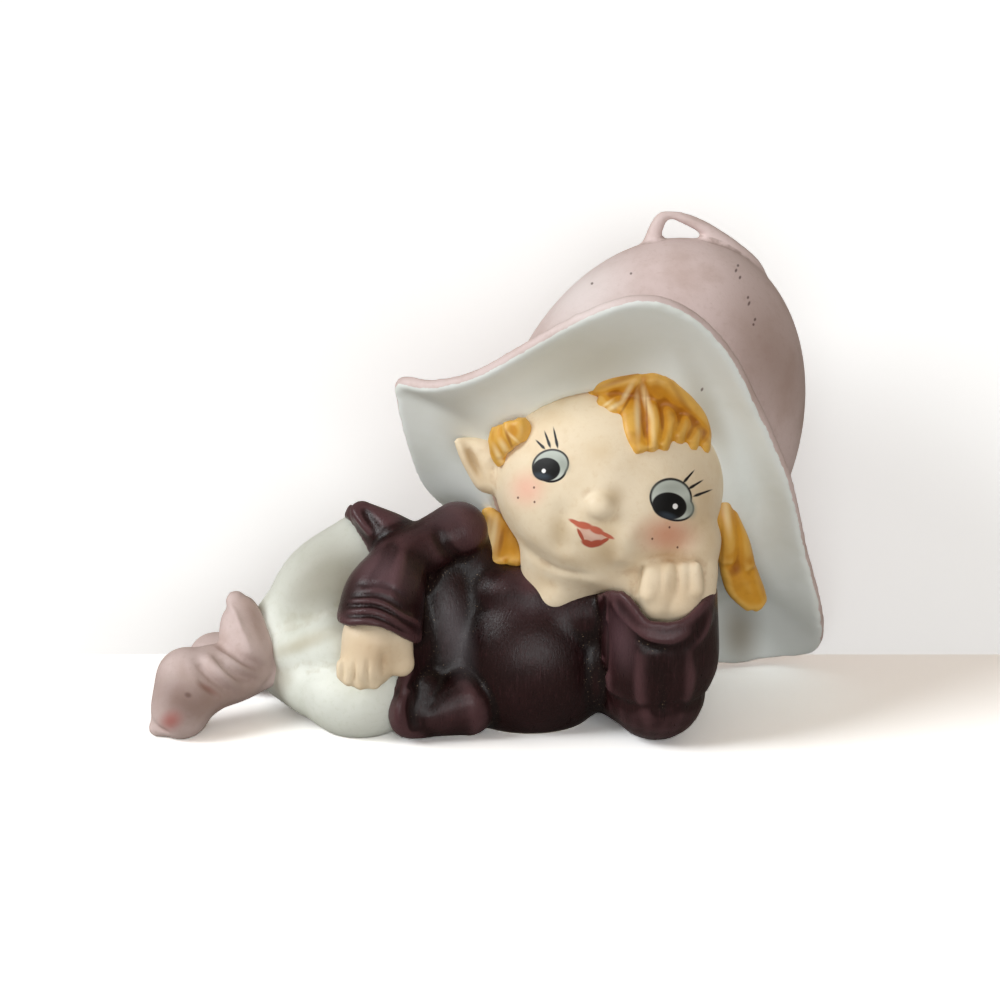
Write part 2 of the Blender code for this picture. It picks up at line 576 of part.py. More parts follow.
def core_forms():
    """The hollow left when the slip is poured out: the thick forms less the wall."""
    head, crown, chest = Vector(HEAD_CENTRE), Vector(CROWN_CENTRE), Vector(CHEST)
    neck = on_head(-0.1, 0.1, -0.75)

    def lying(centre, size):
        floor = max(0.0, centre[2] - size[2] / 2) + WALL
        roof = centre[2] + size[2] / 2 - WALL
        place = (centre[0], centre[1], (floor + roof) / 2)
        return ball(place, (size[0] - 2 * WALL, size[1] - 2 * WALL, roof - floor))

    return [
        ball(head, [size - 2 * WALL for size in (HEAD_WIDTH, HEAD_DEPTH, HEAD_HEIGHT)], head_turn()),
        ball(crown, [size - 2 * WALL for size in (CROWN_WIDTH, CROWN_DEPTH, CROWN_HEIGHT)], crown_turn()),
        hat_base(WALL),
        lying(BELLY, (BELLY_LENGTH, BELLY_DEPTH, BELLY_HEIGHT)),
        lying(WAIST, (WAIST_LENGTH, WAIST_DEPTH, WAIST_HEIGHT)),
        limb([(BELLY[0], BELLY[1], chest.z), chest], [CHEST_RADIUS - WALL, CHEST_RADIUS - WALL]),
        limb([head, neck, Vector(BELLY) + Vector((0, 0, WALL))], [NECK_RADIUS - 1.2 * WALL] * 3),
    ]


def bare_bisque():
    material = bpy.data.materials.new("bisque")
    material.use_nodes = True
    shader = material.node_tree.nodes["Principled BSDF"]
    shader.inputs["Base Color"].default_value = (*BISQUE, 1)
    shader.inputs["Roughness"].default_value = BISQUE_ROUGHNESS
    material.diffuse_color = (*BISQUE, 1)
    return material


def main():
    clear_scene()
    figures = new_collection("elf_figurine")
    helpers = new_collection("helpers")
    forms = (
        head_forms() + hair_forms() + hat_forms() + tunic_forms()
        + hand_forms() + trouser_forms() + boot_forms()
    )
    figure = press_together("elf_figurine", forms, CLAY_VOXEL, CLAY_SOFTEN, FIGURE_TRIANGLES)
    core = press_together("core", core_forms(), CORE_VOXEL, CLAY_SOFTEN, CORE_TRIANGLES)
    cut_away(figure, core)
    cut_away(figure, ear_hollow())

    slab_height = 0.02
    bpy.ops.mesh.primitive_cube_add(size=1)
    table = bpy.context.active_object
    table.data.transform(
        Matrix.Translation((0, 0, -slab_height / 2)) @ Matrix.Diagonal((0.3, 0.3, slab_height, 1))
    )
    cut_away(figure, table)

    vent_depth = WALL * 4
    bpy.ops.mesh.primitive_cylinder_add(vertices=32, radius=VENT_RADIUS, depth=vent_depth)
    vent = bpy.context.active_object
    vent.data.transform(Matrix.Translation((*VENT_PLACE, 0)))
    cut_away(figure, vent)

    figure.data.materials.append(bare_bisque())
    figure.data.shade_smooth()
    for made in list(bpy.context.scene.objects):
        for holder in made.users_collection:
            holder.objects.unlink(made)
        if made == figure:
            figures.objects.link(made)
        else:
            helpers.objects.link(made)
            made.hide_render = True
            made.hide_viewport = True
            made.display_type = "WIRE"


main()
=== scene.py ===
"""A painted bisque pixie lying on one side: hat, face, hair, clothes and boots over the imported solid.

Places are in millimetres in the part's own frame until they reach a mesh. Points that were read off
the front view are given by where they are seen in it (across, down, 0 to 1000) with a depth.
"""
import math

import bmesh
import bpy
import numpy as np
from mathutils import Matrix, Vector
from mathutils.bvhtree import BVHTree


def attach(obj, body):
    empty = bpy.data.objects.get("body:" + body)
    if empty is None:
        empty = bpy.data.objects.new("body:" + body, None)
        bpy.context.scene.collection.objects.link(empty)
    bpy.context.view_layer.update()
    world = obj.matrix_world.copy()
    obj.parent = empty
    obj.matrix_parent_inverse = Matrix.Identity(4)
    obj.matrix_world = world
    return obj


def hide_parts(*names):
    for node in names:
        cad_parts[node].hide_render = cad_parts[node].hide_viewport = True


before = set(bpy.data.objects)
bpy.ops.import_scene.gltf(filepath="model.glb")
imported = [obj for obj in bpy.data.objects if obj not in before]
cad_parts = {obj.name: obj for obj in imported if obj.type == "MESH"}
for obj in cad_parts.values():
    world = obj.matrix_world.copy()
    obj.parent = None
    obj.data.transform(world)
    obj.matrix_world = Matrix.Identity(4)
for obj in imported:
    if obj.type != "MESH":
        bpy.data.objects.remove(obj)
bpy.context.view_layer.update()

MM = 0.001
NODE = "elf_figurine"

# The front view
VIEW_DISTANCE = 450.0
VIEW_RISE = math.radians(18)
VIEW_HEIGHT = 33.7
VIEW_SCALE = 3037.0
VIEW_FRAME = 1000
FORWARD = Vector((0, math.cos(VIEW_RISE), -math.sin(VIEW_RISE)))
UPWARD = Vector((0, math.sin(VIEW_RISE), math.cos(VIEW_RISE)))
EYE = Vector((0, 0, VIEW_HEIGHT)) - FORWARD * VIEW_DISTANCE

HEAD = Vector((15.9, -2.0, 37.2))
HEAD_RADII = Vector((17.0, 15.5, 15.6))
HEAD_TILT = Matrix.Rotation(math.radians(16.7), 3, "Y")
CROWN = Vector((22.4, 13.5, 39.9))
CROWN_RADII = Vector((22.6, 19.6, 31.0))
CROWN_LEAN = Matrix.Rotation(math.radians(20), 3, "Y")
BRIM_THICKNESS = 2.1
BAND_RADIUS = 16.8
BAND_LEAN = Matrix.Rotation(math.radians(22), 3, "X")
BRIM_EDGE = (
    (-31.0, -1.0, 15.7), (-26.6, -5.0, 16.3), (-19.8, -8.2, 18.6), (-12.5, -11.2, 23.5),
    (-4.7, -13.2, 28.5), (3.6, -14.0, 31.5), (10.7, -13.0, 29.2), (16.8, -10.0, 22.6),
    (21.4, -6.0, 13.4), (26.7, -1.0, 0.9), (30.1, 5.0, -12.0), (33.5, 11.0, -24.5),
    (33.9, 18.8, -33.2), (27.8, 22.5, -35.8), (17.8, 20.5, -36.1), (5.0, 21.5, -31.0),
    (-9.0, 20.5, -22.0), (-19.6, 16.0, -12.0), (-27.0, 10.0, -4.0), (-29.7, 4.5, 4.5),
    (-31.0, 1.0, 11.6),
)
HEM_EDGE = (
    (-22.8, 2.0, 31.5), (-18.6, -5.5, 26.8), (-15.2, -10.5, 19.5), (-14.2, -13.0, 12.0),
    (-15.6, -12.5, 6.0), (-14.6, -8.5, 0.8), (-14.0, 1.0, 0.2), (-16.0, 10.0, 3.0),
    (-19.0, 13.2, 13.0), (-22.2, 10.0, 24.5),
)

PIXELS_PER_MM = 6.85      # at the front of the figure
STRANDS_IN_LOCK = 2
STRAND_SPREAD = 0.42      # shares of the lock's radius
STRAND_SHARE = 0.60
LOCK_CORE = 0.90
LOCK_SUNK = 0.35
FRINGE_DEPTH = -5.0
FOLD_UNEVENNESS = 0.03

BACKDROP_DEPTH = 23.0
BACKDROP_TINT = 1.0
BACKDROP_GLOW = 0.21
FLOOR_TINT = 1.95         # over 1, so that the lit floor clips to white and its shadow still shows
FLOOR_GLOW = 0.02
BOUNCE = (0.42, 0.40, 0.37, 1)
LAMPS = (                 # name, where it stands, strength, how wide it looks in degrees
    ("window", (-0.80, -0.24, 0.55), 1.9, 30),
    ("front_lamp", (0.10, -0.985, 0.12), 1.65, 50),
)
LAMP_COLOUR = (0.95, 0.98, 1.0)
ROOM_COLOUR = (1.0, 0.86, 0.72, 1)
ROOM_STRENGTH = 0.28


# Clay

def spot(across, down, depth):
    """The place at this depth that the front view shows there."""
    side, up = (across - 500) / VIEW_SCALE, (500 - down) / VIEW_SCALE
    c, s = math.cos(VIEW_RISE), math.sin(VIEW_RISE)
    rise = (up * (VIEW_DISTANCE + depth * c) - depth * s) / (c + up * s)
    return Vector((side * (VIEW_DISTANCE + depth * c - rise * s), depth, VIEW_HEIGHT + rise))


def seen_on(tree, across, down):
    """The place on a surface that the front view shows there."""
    right = Vector((1, 0, 0))
    ray = FORWARD + right * ((across - 500) / VIEW_SCALE) + UPWARD * ((500 - down) / VIEW_SCALE)
    hit, _, _, _ = tree.ray_cast(EYE * MM, ray.normalized())
    return hit / MM if hit else None


def first_seen(trees, across, down, depth):
    """The nearest place that the front view shows there on any of these, or the one at this depth."""
    found = [place for tree in trees if (place := seen_on(tree, across, down))]
    return min(found, key=lambda place: (place - EYE).length) if found else spot(across, down, depth)


def smooth_path(points, closed=False, steps=6):
    """Catmull-Rom points through the given ones, of any number of coordinates."""
    knots = [Vector(p) for p in points]
    count = len(knots)
    path = []
    for i in range(count if closed else count - 1):
        if closed:
            a, b, c, d = (knots[(i + k) % count] for k in (-1, 0, 1, 2))
        else:
            b, c = knots[i], knots[i + 1]
            a = knots[i - 1] if i else b * 2 - c
            d = knots[i + 2] if i + 2 < count else c * 2 - b
        for step in range(steps):
            t = step / steps
            path.append(
                (b * 2 + (c - a) * t + (a * 2 - b * 5 + c * 4 - d) * t**2
                 + (b * 3 - a - c * 3 + d) * t**3) / 2
            )
    if not closed:
        path.append(knots[-1])
    return path


def link(obj):
    bpy.context.scene.collection.objects.link(obj)
    return obj


def ball(centre, radii, turn=None):
    bpy.ops.mesh.primitive_uv_sphere_add(segments=64, ring_count=40, radius=MM)
    made = bpy.context.active_object
    shape = Matrix.Diagonal(Vector(radii)).to_4x4()
    if turn:
        shape = turn.to_4x4() @ shape
    made.data.transform(Matrix.Translation(Vector(centre) * MM) @ shape)
    return made


def rope(spots, name="rope"):
    """A poly curve through (x, y, z, radius), as a path that Geometry Nodes or a bevel can follow."""
    curve = bpy.data.curves.new(name, "CURVE")
    curve.dimensions = "3D"
    spline = curve.splines.new("POLY")
    spline.points.add(len(spots) - 1)
    for point, (x, y, z, radius) in zip(spline.points, spots):
        point.co = (x * MM, y * MM, z * MM, 1)
        point.radius = radius
    return link(bpy.data.objects.new(name, curve))


def limb(points, radii):
    """A round tube that swells and narrows along a smooth path, with domed ends."""
    path = smooth_path([(*p, r) for p, r in zip(points, radii)], steps=10)
    spots = [(Vector(p[:3]), p[3]) for p in path]
    first = (spots[0][0] - spots[1][0]).normalized()
    last = (spots[-1][0] - spots[-2][0]).normalized()
    angles = [math.radians(a) for a in (85, 70, 54, 38, 22, 8)]

    def dome(end, outward):
        place, radius = end
        return [(place + outward * radius * math.sin(a), radius * math.cos(a)) for a in angles]

    spots = dome(spots[0], first) + spots + dome(spots[-1], last)[::-1]
    made = rope([(*place, radius) for place, radius in spots], "limb")
    made.data.bevel_depth = MM
    made.data.bevel_resolution = 8
    made.data.use_fill_caps = True
    return made


def sheet_mesh(rings):
    loops = [smooth_path(ring, closed=True) for ring in rings]
    lines = [smooth_path(line) for line in zip(*loops)]
    rows, columns = len(lines[0]), len(lines)
    points = [lines[c][r] * MM for r in range(rows) for c in range(columns)]
    faces = [
        (r * columns + c, r * columns + (c + 1) % columns,
         (r + 1) * columns + (c + 1) % columns, (r + 1) * columns + c)
        for r in range(rows - 1)
        for c in range(columns)
    ]
    mesh = bpy.data.meshes.new("sheet")
    mesh.from_pydata(points, [], faces)
    return mesh


def sheet(rings, thickness):
    made = link(bpy.data.objects.new("sheet", sheet_mesh(rings)))
    solidify = made.modifiers.new("wall", "SOLIDIFY")
    solidify.thickness = thickness * MM
    solidify.offset = 0
    solidify.use_even_offset = True
    return made


def evaluated_mesh(obj):
    bpy.context.view_layer.update()
    return bpy.data.meshes.new_from_object(obj.evaluated_get(bpy.context.evaluated_depsgraph_get()))


def press(name, forms, voxel, soften):
    """Presses overlapping forms into one skin and softens its seams. The forms are used up."""
    points, faces = [], []
    for form in forms:
        mesh = evaluated_mesh(form)
        first = len(points)
        points += [form.matrix_world @ v.co for v in mesh.vertices]
        faces += [tuple(first + i for i in face.vertices) for face in mesh.polygons]
        bpy.data.meshes.remove(mesh)
        bpy.data.objects.remove(form, do_unlink=True)
    clay = bpy.data.meshes.new(name)
    clay.from_pydata(points, [], faces)
    made = link(bpy.data.objects.new(name, clay))
    remesh = made.modifiers.new("press", "REMESH")
    remesh.mode = "VOXEL"
    remesh.voxel_size = voxel * MM
    smooth = made.modifiers.new("soften", "SMOOTH")
    smooth.factor = 0.5
    smooth.iterations = soften
    mesh = evaluated_mesh(made)
    made.modifiers.clear()
    made.data = mesh
    return made


def points_of(mesh):
    points = np.empty(len(mesh.vertices) * 3, np.float32)
    mesh.vertices.foreach_get("co", points)
    return points.reshape(-1, 3).astype(float) / MM


def normals_of(mesh):
    normals = np.empty(len(mesh.vertices) * 3, np.float32)
    mesh.vertex_normals.foreach_get("vector", normals)
    return normals.reshape(-1, 3).astype(float)


def surface_tree(mesh):
    return BVHTree.FromPolygons([v.co for v in mesh.vertices], [f.vertices[:] for f in mesh.polygons])


def tree_of(piece):
    return surface_tree(piece.data)


def press_in(piece, path, width, depth, facing=None, taper=True):
    """Draws a modelling tool along a path: in by depth, or out where depth is negative."""
    line = np.array([tuple(p) for p in path], float)
    points, normals = points_of(piece.data), normals_of(piece.data)
    near = ((points > line.min(axis=0) - 3 * width) & (points < line.max(axis=0) + 3 * width)).all(axis=1)
    if facing is not None:
        near &= normals @ np.array(facing, float) > 0.1
    index = np.flatnonzero(near)
    spots = points[index]
    best = np.full(len(index), 1e9)
    along = np.zeros(len(index))
    if len(line) == 1:
        best = np.linalg.norm(spots - line[0], axis=1)
        taper = False
    for i, (a, b) in enumerate(zip(line[:-1], line[1:])):
        run = b - a
        t = np.clip((spots - a) @ run / max(run @ run, 1e-9), 0, 1)
        gap = np.linalg.norm(spots - (a + t[:, None] * run), axis=1)
        closer = gap < best
        best[closer] = gap[closer]
        along[closer] = (i + t[closer]) / (len(line) - 1)
    push = depth * np.exp(-((best / width) ** 2))
    if taper:
        push *= np.sin(np.pi * np.clip(along, 0.02, 0.98)) ** 0.5
    points[index] -= normals[index] * push[:, None]
    piece.data.vertices.foreach_set("co", (points * MM).ravel())
    piece.data.update()


def score(piece, marks, width, depth, **how):
    """The same, along marks given by where the front view shows them on this piece."""
    tree = tree_of(piece)
    line = smooth_path(marks) if len(marks) > 1 else marks
    path = [place for mark in line if (place := seen_on(tree, *mark))]
    if path:
        press_in(piece, path, width, depth, facing=tuple(-FORWARD), **how)


def stand_on_table(piece, level=0.0):
    """Cuts the piece off at the table."""
    cut = bmesh.new()
    cut.from_mesh(piece.data)
    geometry = list(cut.verts) + list(cut.edges) + list(cut.faces)
    found = bmesh.ops.bisect_plane(
        cut, geom=geometry, plane_co=(0, 0, level * MM), plane_no=(0, 0, -1), clear_outer=True
    )
    rim = [e for e in found["geom_cut"] if isinstance(e, bmesh.types.BMEdge)]
    bmesh.ops.holes_fill(cut, edges=rim)
    cut.to_mesh(piece.data)
    cut.free()


def keep_number(piece, name, values):
    attribute = piece.data.attributes.new(name, "FLOAT", "POINT")
    attribute.data.foreach_set("value", np.asarray(values, np.float32))


def keep_relief(piece, passes):
    """Keeps how far each point stands out of the softened surface, in millimetres, for paler ridges, darker
    folds and the dust in them.
    """
    mesh = piece.data
    points, normals = points_of(mesh), normals_of(mesh)
    ends = np.empty(len(mesh.edges) * 2, np.int32)
    mesh.edges.foreach_get("vertices", ends)
    a, b = ends.reshape(-1, 2).T
    count = len(points)
    joined = np.maximum(np.bincount(a, minlength=count) + np.bincount(b, minlength=count), 1)
    soft = points.copy()
    for _ in range(passes):
        for axis in range(3):
            column = soft[:, axis]
            around = np.bincount(a, column[b], count) + np.bincount(b, column[a], count)
            soft[:, axis] = around / joined
    keep_number(piece, "relief", ((points - soft) * normals).sum(axis=1))


# Geometry Nodes: strands combed into each lock, and rolled folds on the near cuff

def begin_tree(title, sockets):
    """A tree that takes and gives geometry, its first nodes, and what its modifier calls each input."""
    tree = bpy.data.node_groups.new(title, "GeometryNodeTree")
    face = tree.interface
    for way in ("OUTPUT", "INPUT"):
        face.new_socket("Geometry", in_out=way, socket_type="NodeSocketGeometry")
    names = {
        name: face.new_socket(name, in_out="INPUT", socket_type=f"NodeSocket{kind}").identifier
        for name, kind in {**sockets, "Paint": "Material"}.items()
    }
    return tree, names, tree.nodes.new("NodeGroupInput"), tree.nodes.new("NodeGroupOutput")


def end_tree(tree, tube, given, out):
    """Makes the tube real and gives it its paint."""
    add, join = tree.nodes.new, tree.links.new
    real, paint = add("GeometryNodeRealizeInstances"), add("GeometryNodeSetMaterial")
    join(tube.outputs[0], real.inputs[0])
    join(real.outputs[0], paint.inputs["Geometry"])
    join(given.outputs["Paint"], paint.inputs["Material"])
    join(paint.outputs[0], out.inputs[0])


def strand_tree():
    tree, names, given, out = begin_tree("combed strands", {
        "Strands": "Int", "Spread": "Float", "Strand Share": "Float", "Twist": "Float",
    })
    add, join = tree.nodes.new, tree.links.new

    def math_node(operation, a, b):
        made = add("ShaderNodeMath")
        made.operation = operation
        for socket, value in zip(made.inputs, (a, b)):
            if isinstance(value, (int, float)):
                socket.default_value = value
            elif value is not None:
                join(value, socket)
        return made.outputs[0]

    def vector_node(operation, a, b=None, scale=None):
        made = add("ShaderNodeVectorMath")
        made.operation = operation
        join(a, made.inputs[0])
        if b is not None:
            join(b, made.inputs[1])
        if scale is not None:
            join(scale, made.inputs["Scale"])
        return made.outputs[0]

    copies = add("GeometryNodeDuplicateElements")
    copies.domain = "SPLINE"
    join(given.outputs["Geometry"], copies.inputs["Geometry"])
    join(given.outputs["Strands"], copies.inputs["Amount"])
    share = math_node("DIVIDE", copies.outputs["Duplicate Index"], given.outputs["Strands"])
    factor = add("GeometryNodeSplineParameter").outputs["Factor"]
    turn = math_node("ADD", math_node("MULTIPLY", share, math.tau),
                     math_node("MULTIPLY", factor, given.outputs["Twist"]))
    normal = add("GeometryNodeInputNormal").outputs[0]
    tangent = add("GeometryNodeInputTangent").outputs[0]
    radius = add("GeometryNodeInputRadius").outputs[0]
    beside = vector_node("CROSS_PRODUCT", tangent, normal)
    reach = math_node("MULTIPLY", math_node("MULTIPLY", radius, given.outputs["Spread"]), MM)
    offset = vector_node(
        "ADD",
        vector_node("SCALE", normal, scale=math_node("MULTIPLY", reach, math_node("COSINE", turn, None))),
        vector_node("SCALE", beside, scale=math_node("MULTIPLY", reach, math_node("SINE", turn, None))),
    )
    moved = add("GeometryNodeSetPosition")
    join(copies.outputs["Geometry"], moved.inputs["Geometry"])
    join(offset, moved.inputs["Offset"])
    thinned = add("GeometryNodeSetCurveRadius")
    join(moved.outputs[0], thinned.inputs[0])
    thin = math_node("MULTIPLY", radius, given.outputs["Strand Share"])
    join(thin, thinned.inputs["Radius"])
    ring = add("GeometryNodeCurvePrimitiveCircle")
    ring.inputs["Resolution"].default_value = 14
    ring.inputs["Radius"].default_value = MM
    tube = add("GeometryNodeCurveToMesh")
    join(thinned.outputs[0], tube.inputs["Curve"])
    join(ring.outputs[0], tube.inputs["Profile Curve"])
    tube.inputs["Fill Caps"].default_value = True
    end_tree(tree, tube, given, out)
    return tree, names


def rolls_tree():
    tree, names, given, out = begin_tree("rolled folds", {
        "Count": "Int", "Thickness": "Float", "Unevenness": "Float", "Seed": "Int",
    })
    add, join = tree.nodes.new, tree.links.new
    places = add("GeometryNodeResampleCurve")
    join(given.outputs["Geometry"], places.inputs["Curve"])
    join(given.outputs["Count"], places.inputs["Count"])
    ring = add("GeometryNodeCurvePrimitiveCircle")
    ring.inputs["Resolution"].default_value = 48
    ring.inputs["Radius"].default_value = MM
    facing = add("FunctionNodeAlignRotationToVector")
    facing.axis = "Z"
    join(add("GeometryNodeInputTangent").outputs[0], facing.inputs["Vector"])
    least, most = add("ShaderNodeMath"), add("ShaderNodeMath")
    for node, sign in ((least, -1.0), (most, 1.0)):
        node.operation = "MULTIPLY_ADD"
        join(given.outputs["Unevenness"], node.inputs[0])
        node.inputs[1].default_value = sign
        node.inputs[2].default_value = 1.0
    uneven = add("FunctionNodeRandomValue")
    uneven.data_type = "FLOAT"
    join(least.outputs[0], uneven.inputs[2])
    join(most.outputs[0], uneven.inputs[3])
    join(given.outputs["Seed"], uneven.inputs["Seed"])
    size = add("ShaderNodeMath")
    size.operation = "MULTIPLY"
    join(add("GeometryNodeInputRadius").outputs[0], size.inputs[0])
    join(uneven.outputs[1], size.inputs[1])
    placed = add("GeometryNodeInstanceOnPoints")
    join(places.outputs[0], placed.inputs["Points"])
    join(ring.outputs[0], placed.inputs["Instance"])
    join(facing.outputs[0], placed.inputs["Rotation"])
    join(size.outputs[0], placed.inputs["Scale"])
    real = add("GeometryNodeRealizeInstances")
    join(placed.outputs[0], real.inputs[0])
    profile = add("GeometryNodeCurvePrimitiveCircle")
    profile.inputs["Resolution"].default_value = 12
    join(given.outputs["Thickness"], profile.inputs["Radius"])
    round_ring = add("GeometryNodeSetCurveRadius")
    join(real.outputs[0], round_ring.inputs[0])
    round_ring.inputs["Radius"].default_value = 1.0
    tube = add("GeometryNodeCurveToMesh")
    join(round_ring.outputs[0], tube.inputs["Curve"])
    join(profile.outputs[0], tube.inputs["Profile Curve"])
    end_tree(tree, tube, given, out)
    return tree, names


STRANDS = strand_tree()
ROLLS = rolls_tree()
CLAY = bpy.data.materials.new("unpainted clay")


def grow(places, radii, name, kind, values):
    """A smooth path with one of the two trees on it."""
    path = smooth_path([(*p, r) for p, r in zip(places, radii)], steps=8)
    made = rope([tuple(p) for p in path], name)
    grown = made.modifiers.new(name, "NODES")
    grown.node_group, inputs = kind
    for label, value in {**values, "Paint": CLAY}.items():
        grown[inputs[label]] = value
    return made


def folds(places, radii, count, thickness, seed):
    """Rolled folds side by side along a sleeve."""
    return grow(places, radii, "folds", ROLLS, {
        "Count": count, "Thickness": thickness * MM, "Unevenness": FOLD_UNEVENNESS, "Seed": seed,
    })


def comb(places, radii, twist):
    """One lock of hair, combed into strands that taper together."""
    return grow(places, radii, "lock", STRANDS, {
        "Strands": STRANDS_IN_LOCK, "Spread": STRAND_SPREAD, "Strand Share": STRAND_SHARE, "Twist": twist,
    })


# Paint

def linear(red, green, blue):
    """A colour as it is mixed, from the 0 to 255 values that a swatch gives."""
    def one(value):
        value /= 255
        return value / 12.92 if value <= 0.04045 else ((value + 0.055) / 1.055) ** 2.4
    return (one(red), one(green), one(blue), 1.0)


class Finish:
    """A bisque finish that is painted layer over layer."""

    def __init__(self, name, colour, roughness):
        self.material = bpy.data.materials.new(name)
        self.material.use_nodes = True
        self.tree = self.material.node_tree
        self.shader = self.tree.nodes["Principled BSDF"]
        self.place = self.add("ShaderNodeTexCoord").outputs["Object"]
        self.colour = linear(*colour)
        self.rough = roughness
        self.height = None
        relief = self.add("ShaderNodeAttribute")
        relief.attribute_name = "relief"
        self.relief = relief.outputs["Fac"]

    def add(self, kind, inputs=None, **settings):
        made = self.tree.nodes.new(kind)
        for name, value in settings.items():
            setattr(made, name, value)
        for name, value in (inputs or {}).items():
            self.set(made.inputs[name], value)
        return made

    def set(self, socket, value):
        if isinstance(value, bpy.types.NodeSocket):
            self.tree.links.new(value, socket)
        else:
            socket.default_value = value

    def number(self, operation, a, b=0.0):
        return self.add("ShaderNodeMath", {0: a, 1: b}, operation=operation).outputs[0]

    def times(self, first, *others):
        for other in others:
            first = self.number("MULTIPLY", first, other)
        return first

    def fade(self, value, start, end, low=0.0, high=1.0):
        """low at start to high at end, eased."""
        made = self.add(
            "ShaderNodeMapRange",
            {"Value": value, "From Min": start, "From Max": end, "To Min": low, "To Max": high},
            interpolation_type="SMOOTHSTEP",
        )
        return made.outputs[0]

    def noise(self, size, detail=3.0, stretch=(1, 1, 1), rough=0.55, warp=0.0):
        """Noise with features of about this many millimetres, stretched along an axis."""
        place = self.place
        if tuple(stretch) != (1, 1, 1):
            scale = tuple(1 / s for s in stretch)
            place = self.add("ShaderNodeMapping", {"Vector": place, "Scale": scale}).outputs[0]
        made = self.add(
            "ShaderNodeTexNoise",
            {
                "Vector": place, "Scale": 1 / (size * MM), "Detail": detail, "Roughness": rough,
                "Distortion": warp,
            },
        )
        return made.outputs[0]

    def over(self, colour, mask):
        made = self.add("ShaderNodeMix", {0: mask}, data_type="RGBA")
        self.set(made.inputs[6], self.colour)
        self.set(made.inputs[7], linear(*colour) if len(colour) == 3 else colour)
        self.colour = made.outputs[2]

    def raise_by(self, height):
        self.height = height if self.height is None else self.number("ADD", self.height, height)

    def done(self, bump):
        self.set(self.shader.inputs["Base Color"], self.colour)
        self.set(self.shader.inputs["Roughness"], self.rough)
        if self.height is not None:
            made = self.add("ShaderNodeBump", {"Height": self.height, "Strength": 1.0, "Distance": bump * MM})
            self.set(self.shader.inputs["Normal"], made.outputs[0])
        return self.material


def bisque(name, colour, shade, roughness, fold_colour, fold_share):
    """Fired clay under matt paint: cloudy tone, a darker colour laid into the folds and broken up by noise,
    fine grain.
    """
    finish = Finish(name, colour, roughness)
    finish.over(shade, finish.fade(finish.noise(7.0, 4), 0.42, 0.75, 0.0, 0.65))
    finish.over(shade, finish.fade(finish.noise(0.8, 5), 0.50, 0.78, 0.0, 0.35))
    folds = finish.fade(finish.relief, -0.01, -0.16)
    broken = finish.fade(finish.noise(1.6, 5), 0.35, 0.62)
    finish.over(fold_colour, finish.times(folds, broken, fold_share))
    finish.raise_by(finish.noise(0.32, 4))
    finish.raise_by(finish.times(finish.noise(2.4, 3), 1.6))
    return finish


def bare_underside(finish):
    """The unpainted clay that stands on the table."""
    low = finish.add("ShaderNodeSeparateXYZ", {0: finish.place}).outputs[2]
    finish.over((226, 220, 208), finish.fade(low, 0.25 * MM, 0.08 * MM))


class Brush:
    """Brush marks, each an oval between two marks of the front view, on the plane that faces it."""

    def __init__(self, finish, tree):
        self.finish, self.tree = finish, tree
        turned = finish.add(
            "ShaderNodeVectorRotate", {"Vector": finish.place, "Angle": VIEW_RISE}, rotation_type="X_AXIS"
        )
        self.plane = finish.add(
            "ShaderNodeVectorMath", {0: turned.outputs[0], 1: (1, 0, 1)}, operation="MULTIPLY"
        ).outputs[0]

    def flat(self, mark):
        place = seen_on(self.tree, *mark) or spot(*mark, -4.0)
        return Vector((place.x, place.dot(UPWARD)))

    def oval(self, start, end, width, soft, ends=0.0):
        a, b = self.flat(start), self.flat(end)
        middle, run = (a + b) / 2, b - a
        made = self.finish.add(
            "ShaderNodeMapping",
            {
                "Vector": self.plane,
                "Location": (middle.x * MM, 0, middle.y * MM),
                "Rotation": (0, -math.atan2(run.y, run.x), 0),
                "Scale": ((run.length / 2 + ends) * MM, 1, width / 2 * MM),
            },
            vector_type="TEXTURE",
        )
        length = self.finish.add("ShaderNodeVectorMath", {0: made.outputs[0]}, operation="LENGTH")
        return self.finish.fade(length.outputs["Value"], 1 + soft, 1 - soft)

    def stroke(self, colour, start, end, width, soft, share=1.0, ends=0.0):
        mask = self.oval(start, end, width, soft, ends)
        if share != 1.0:
            mask = self.finish.times(mask, share)
        self.finish.over(colour, mask)


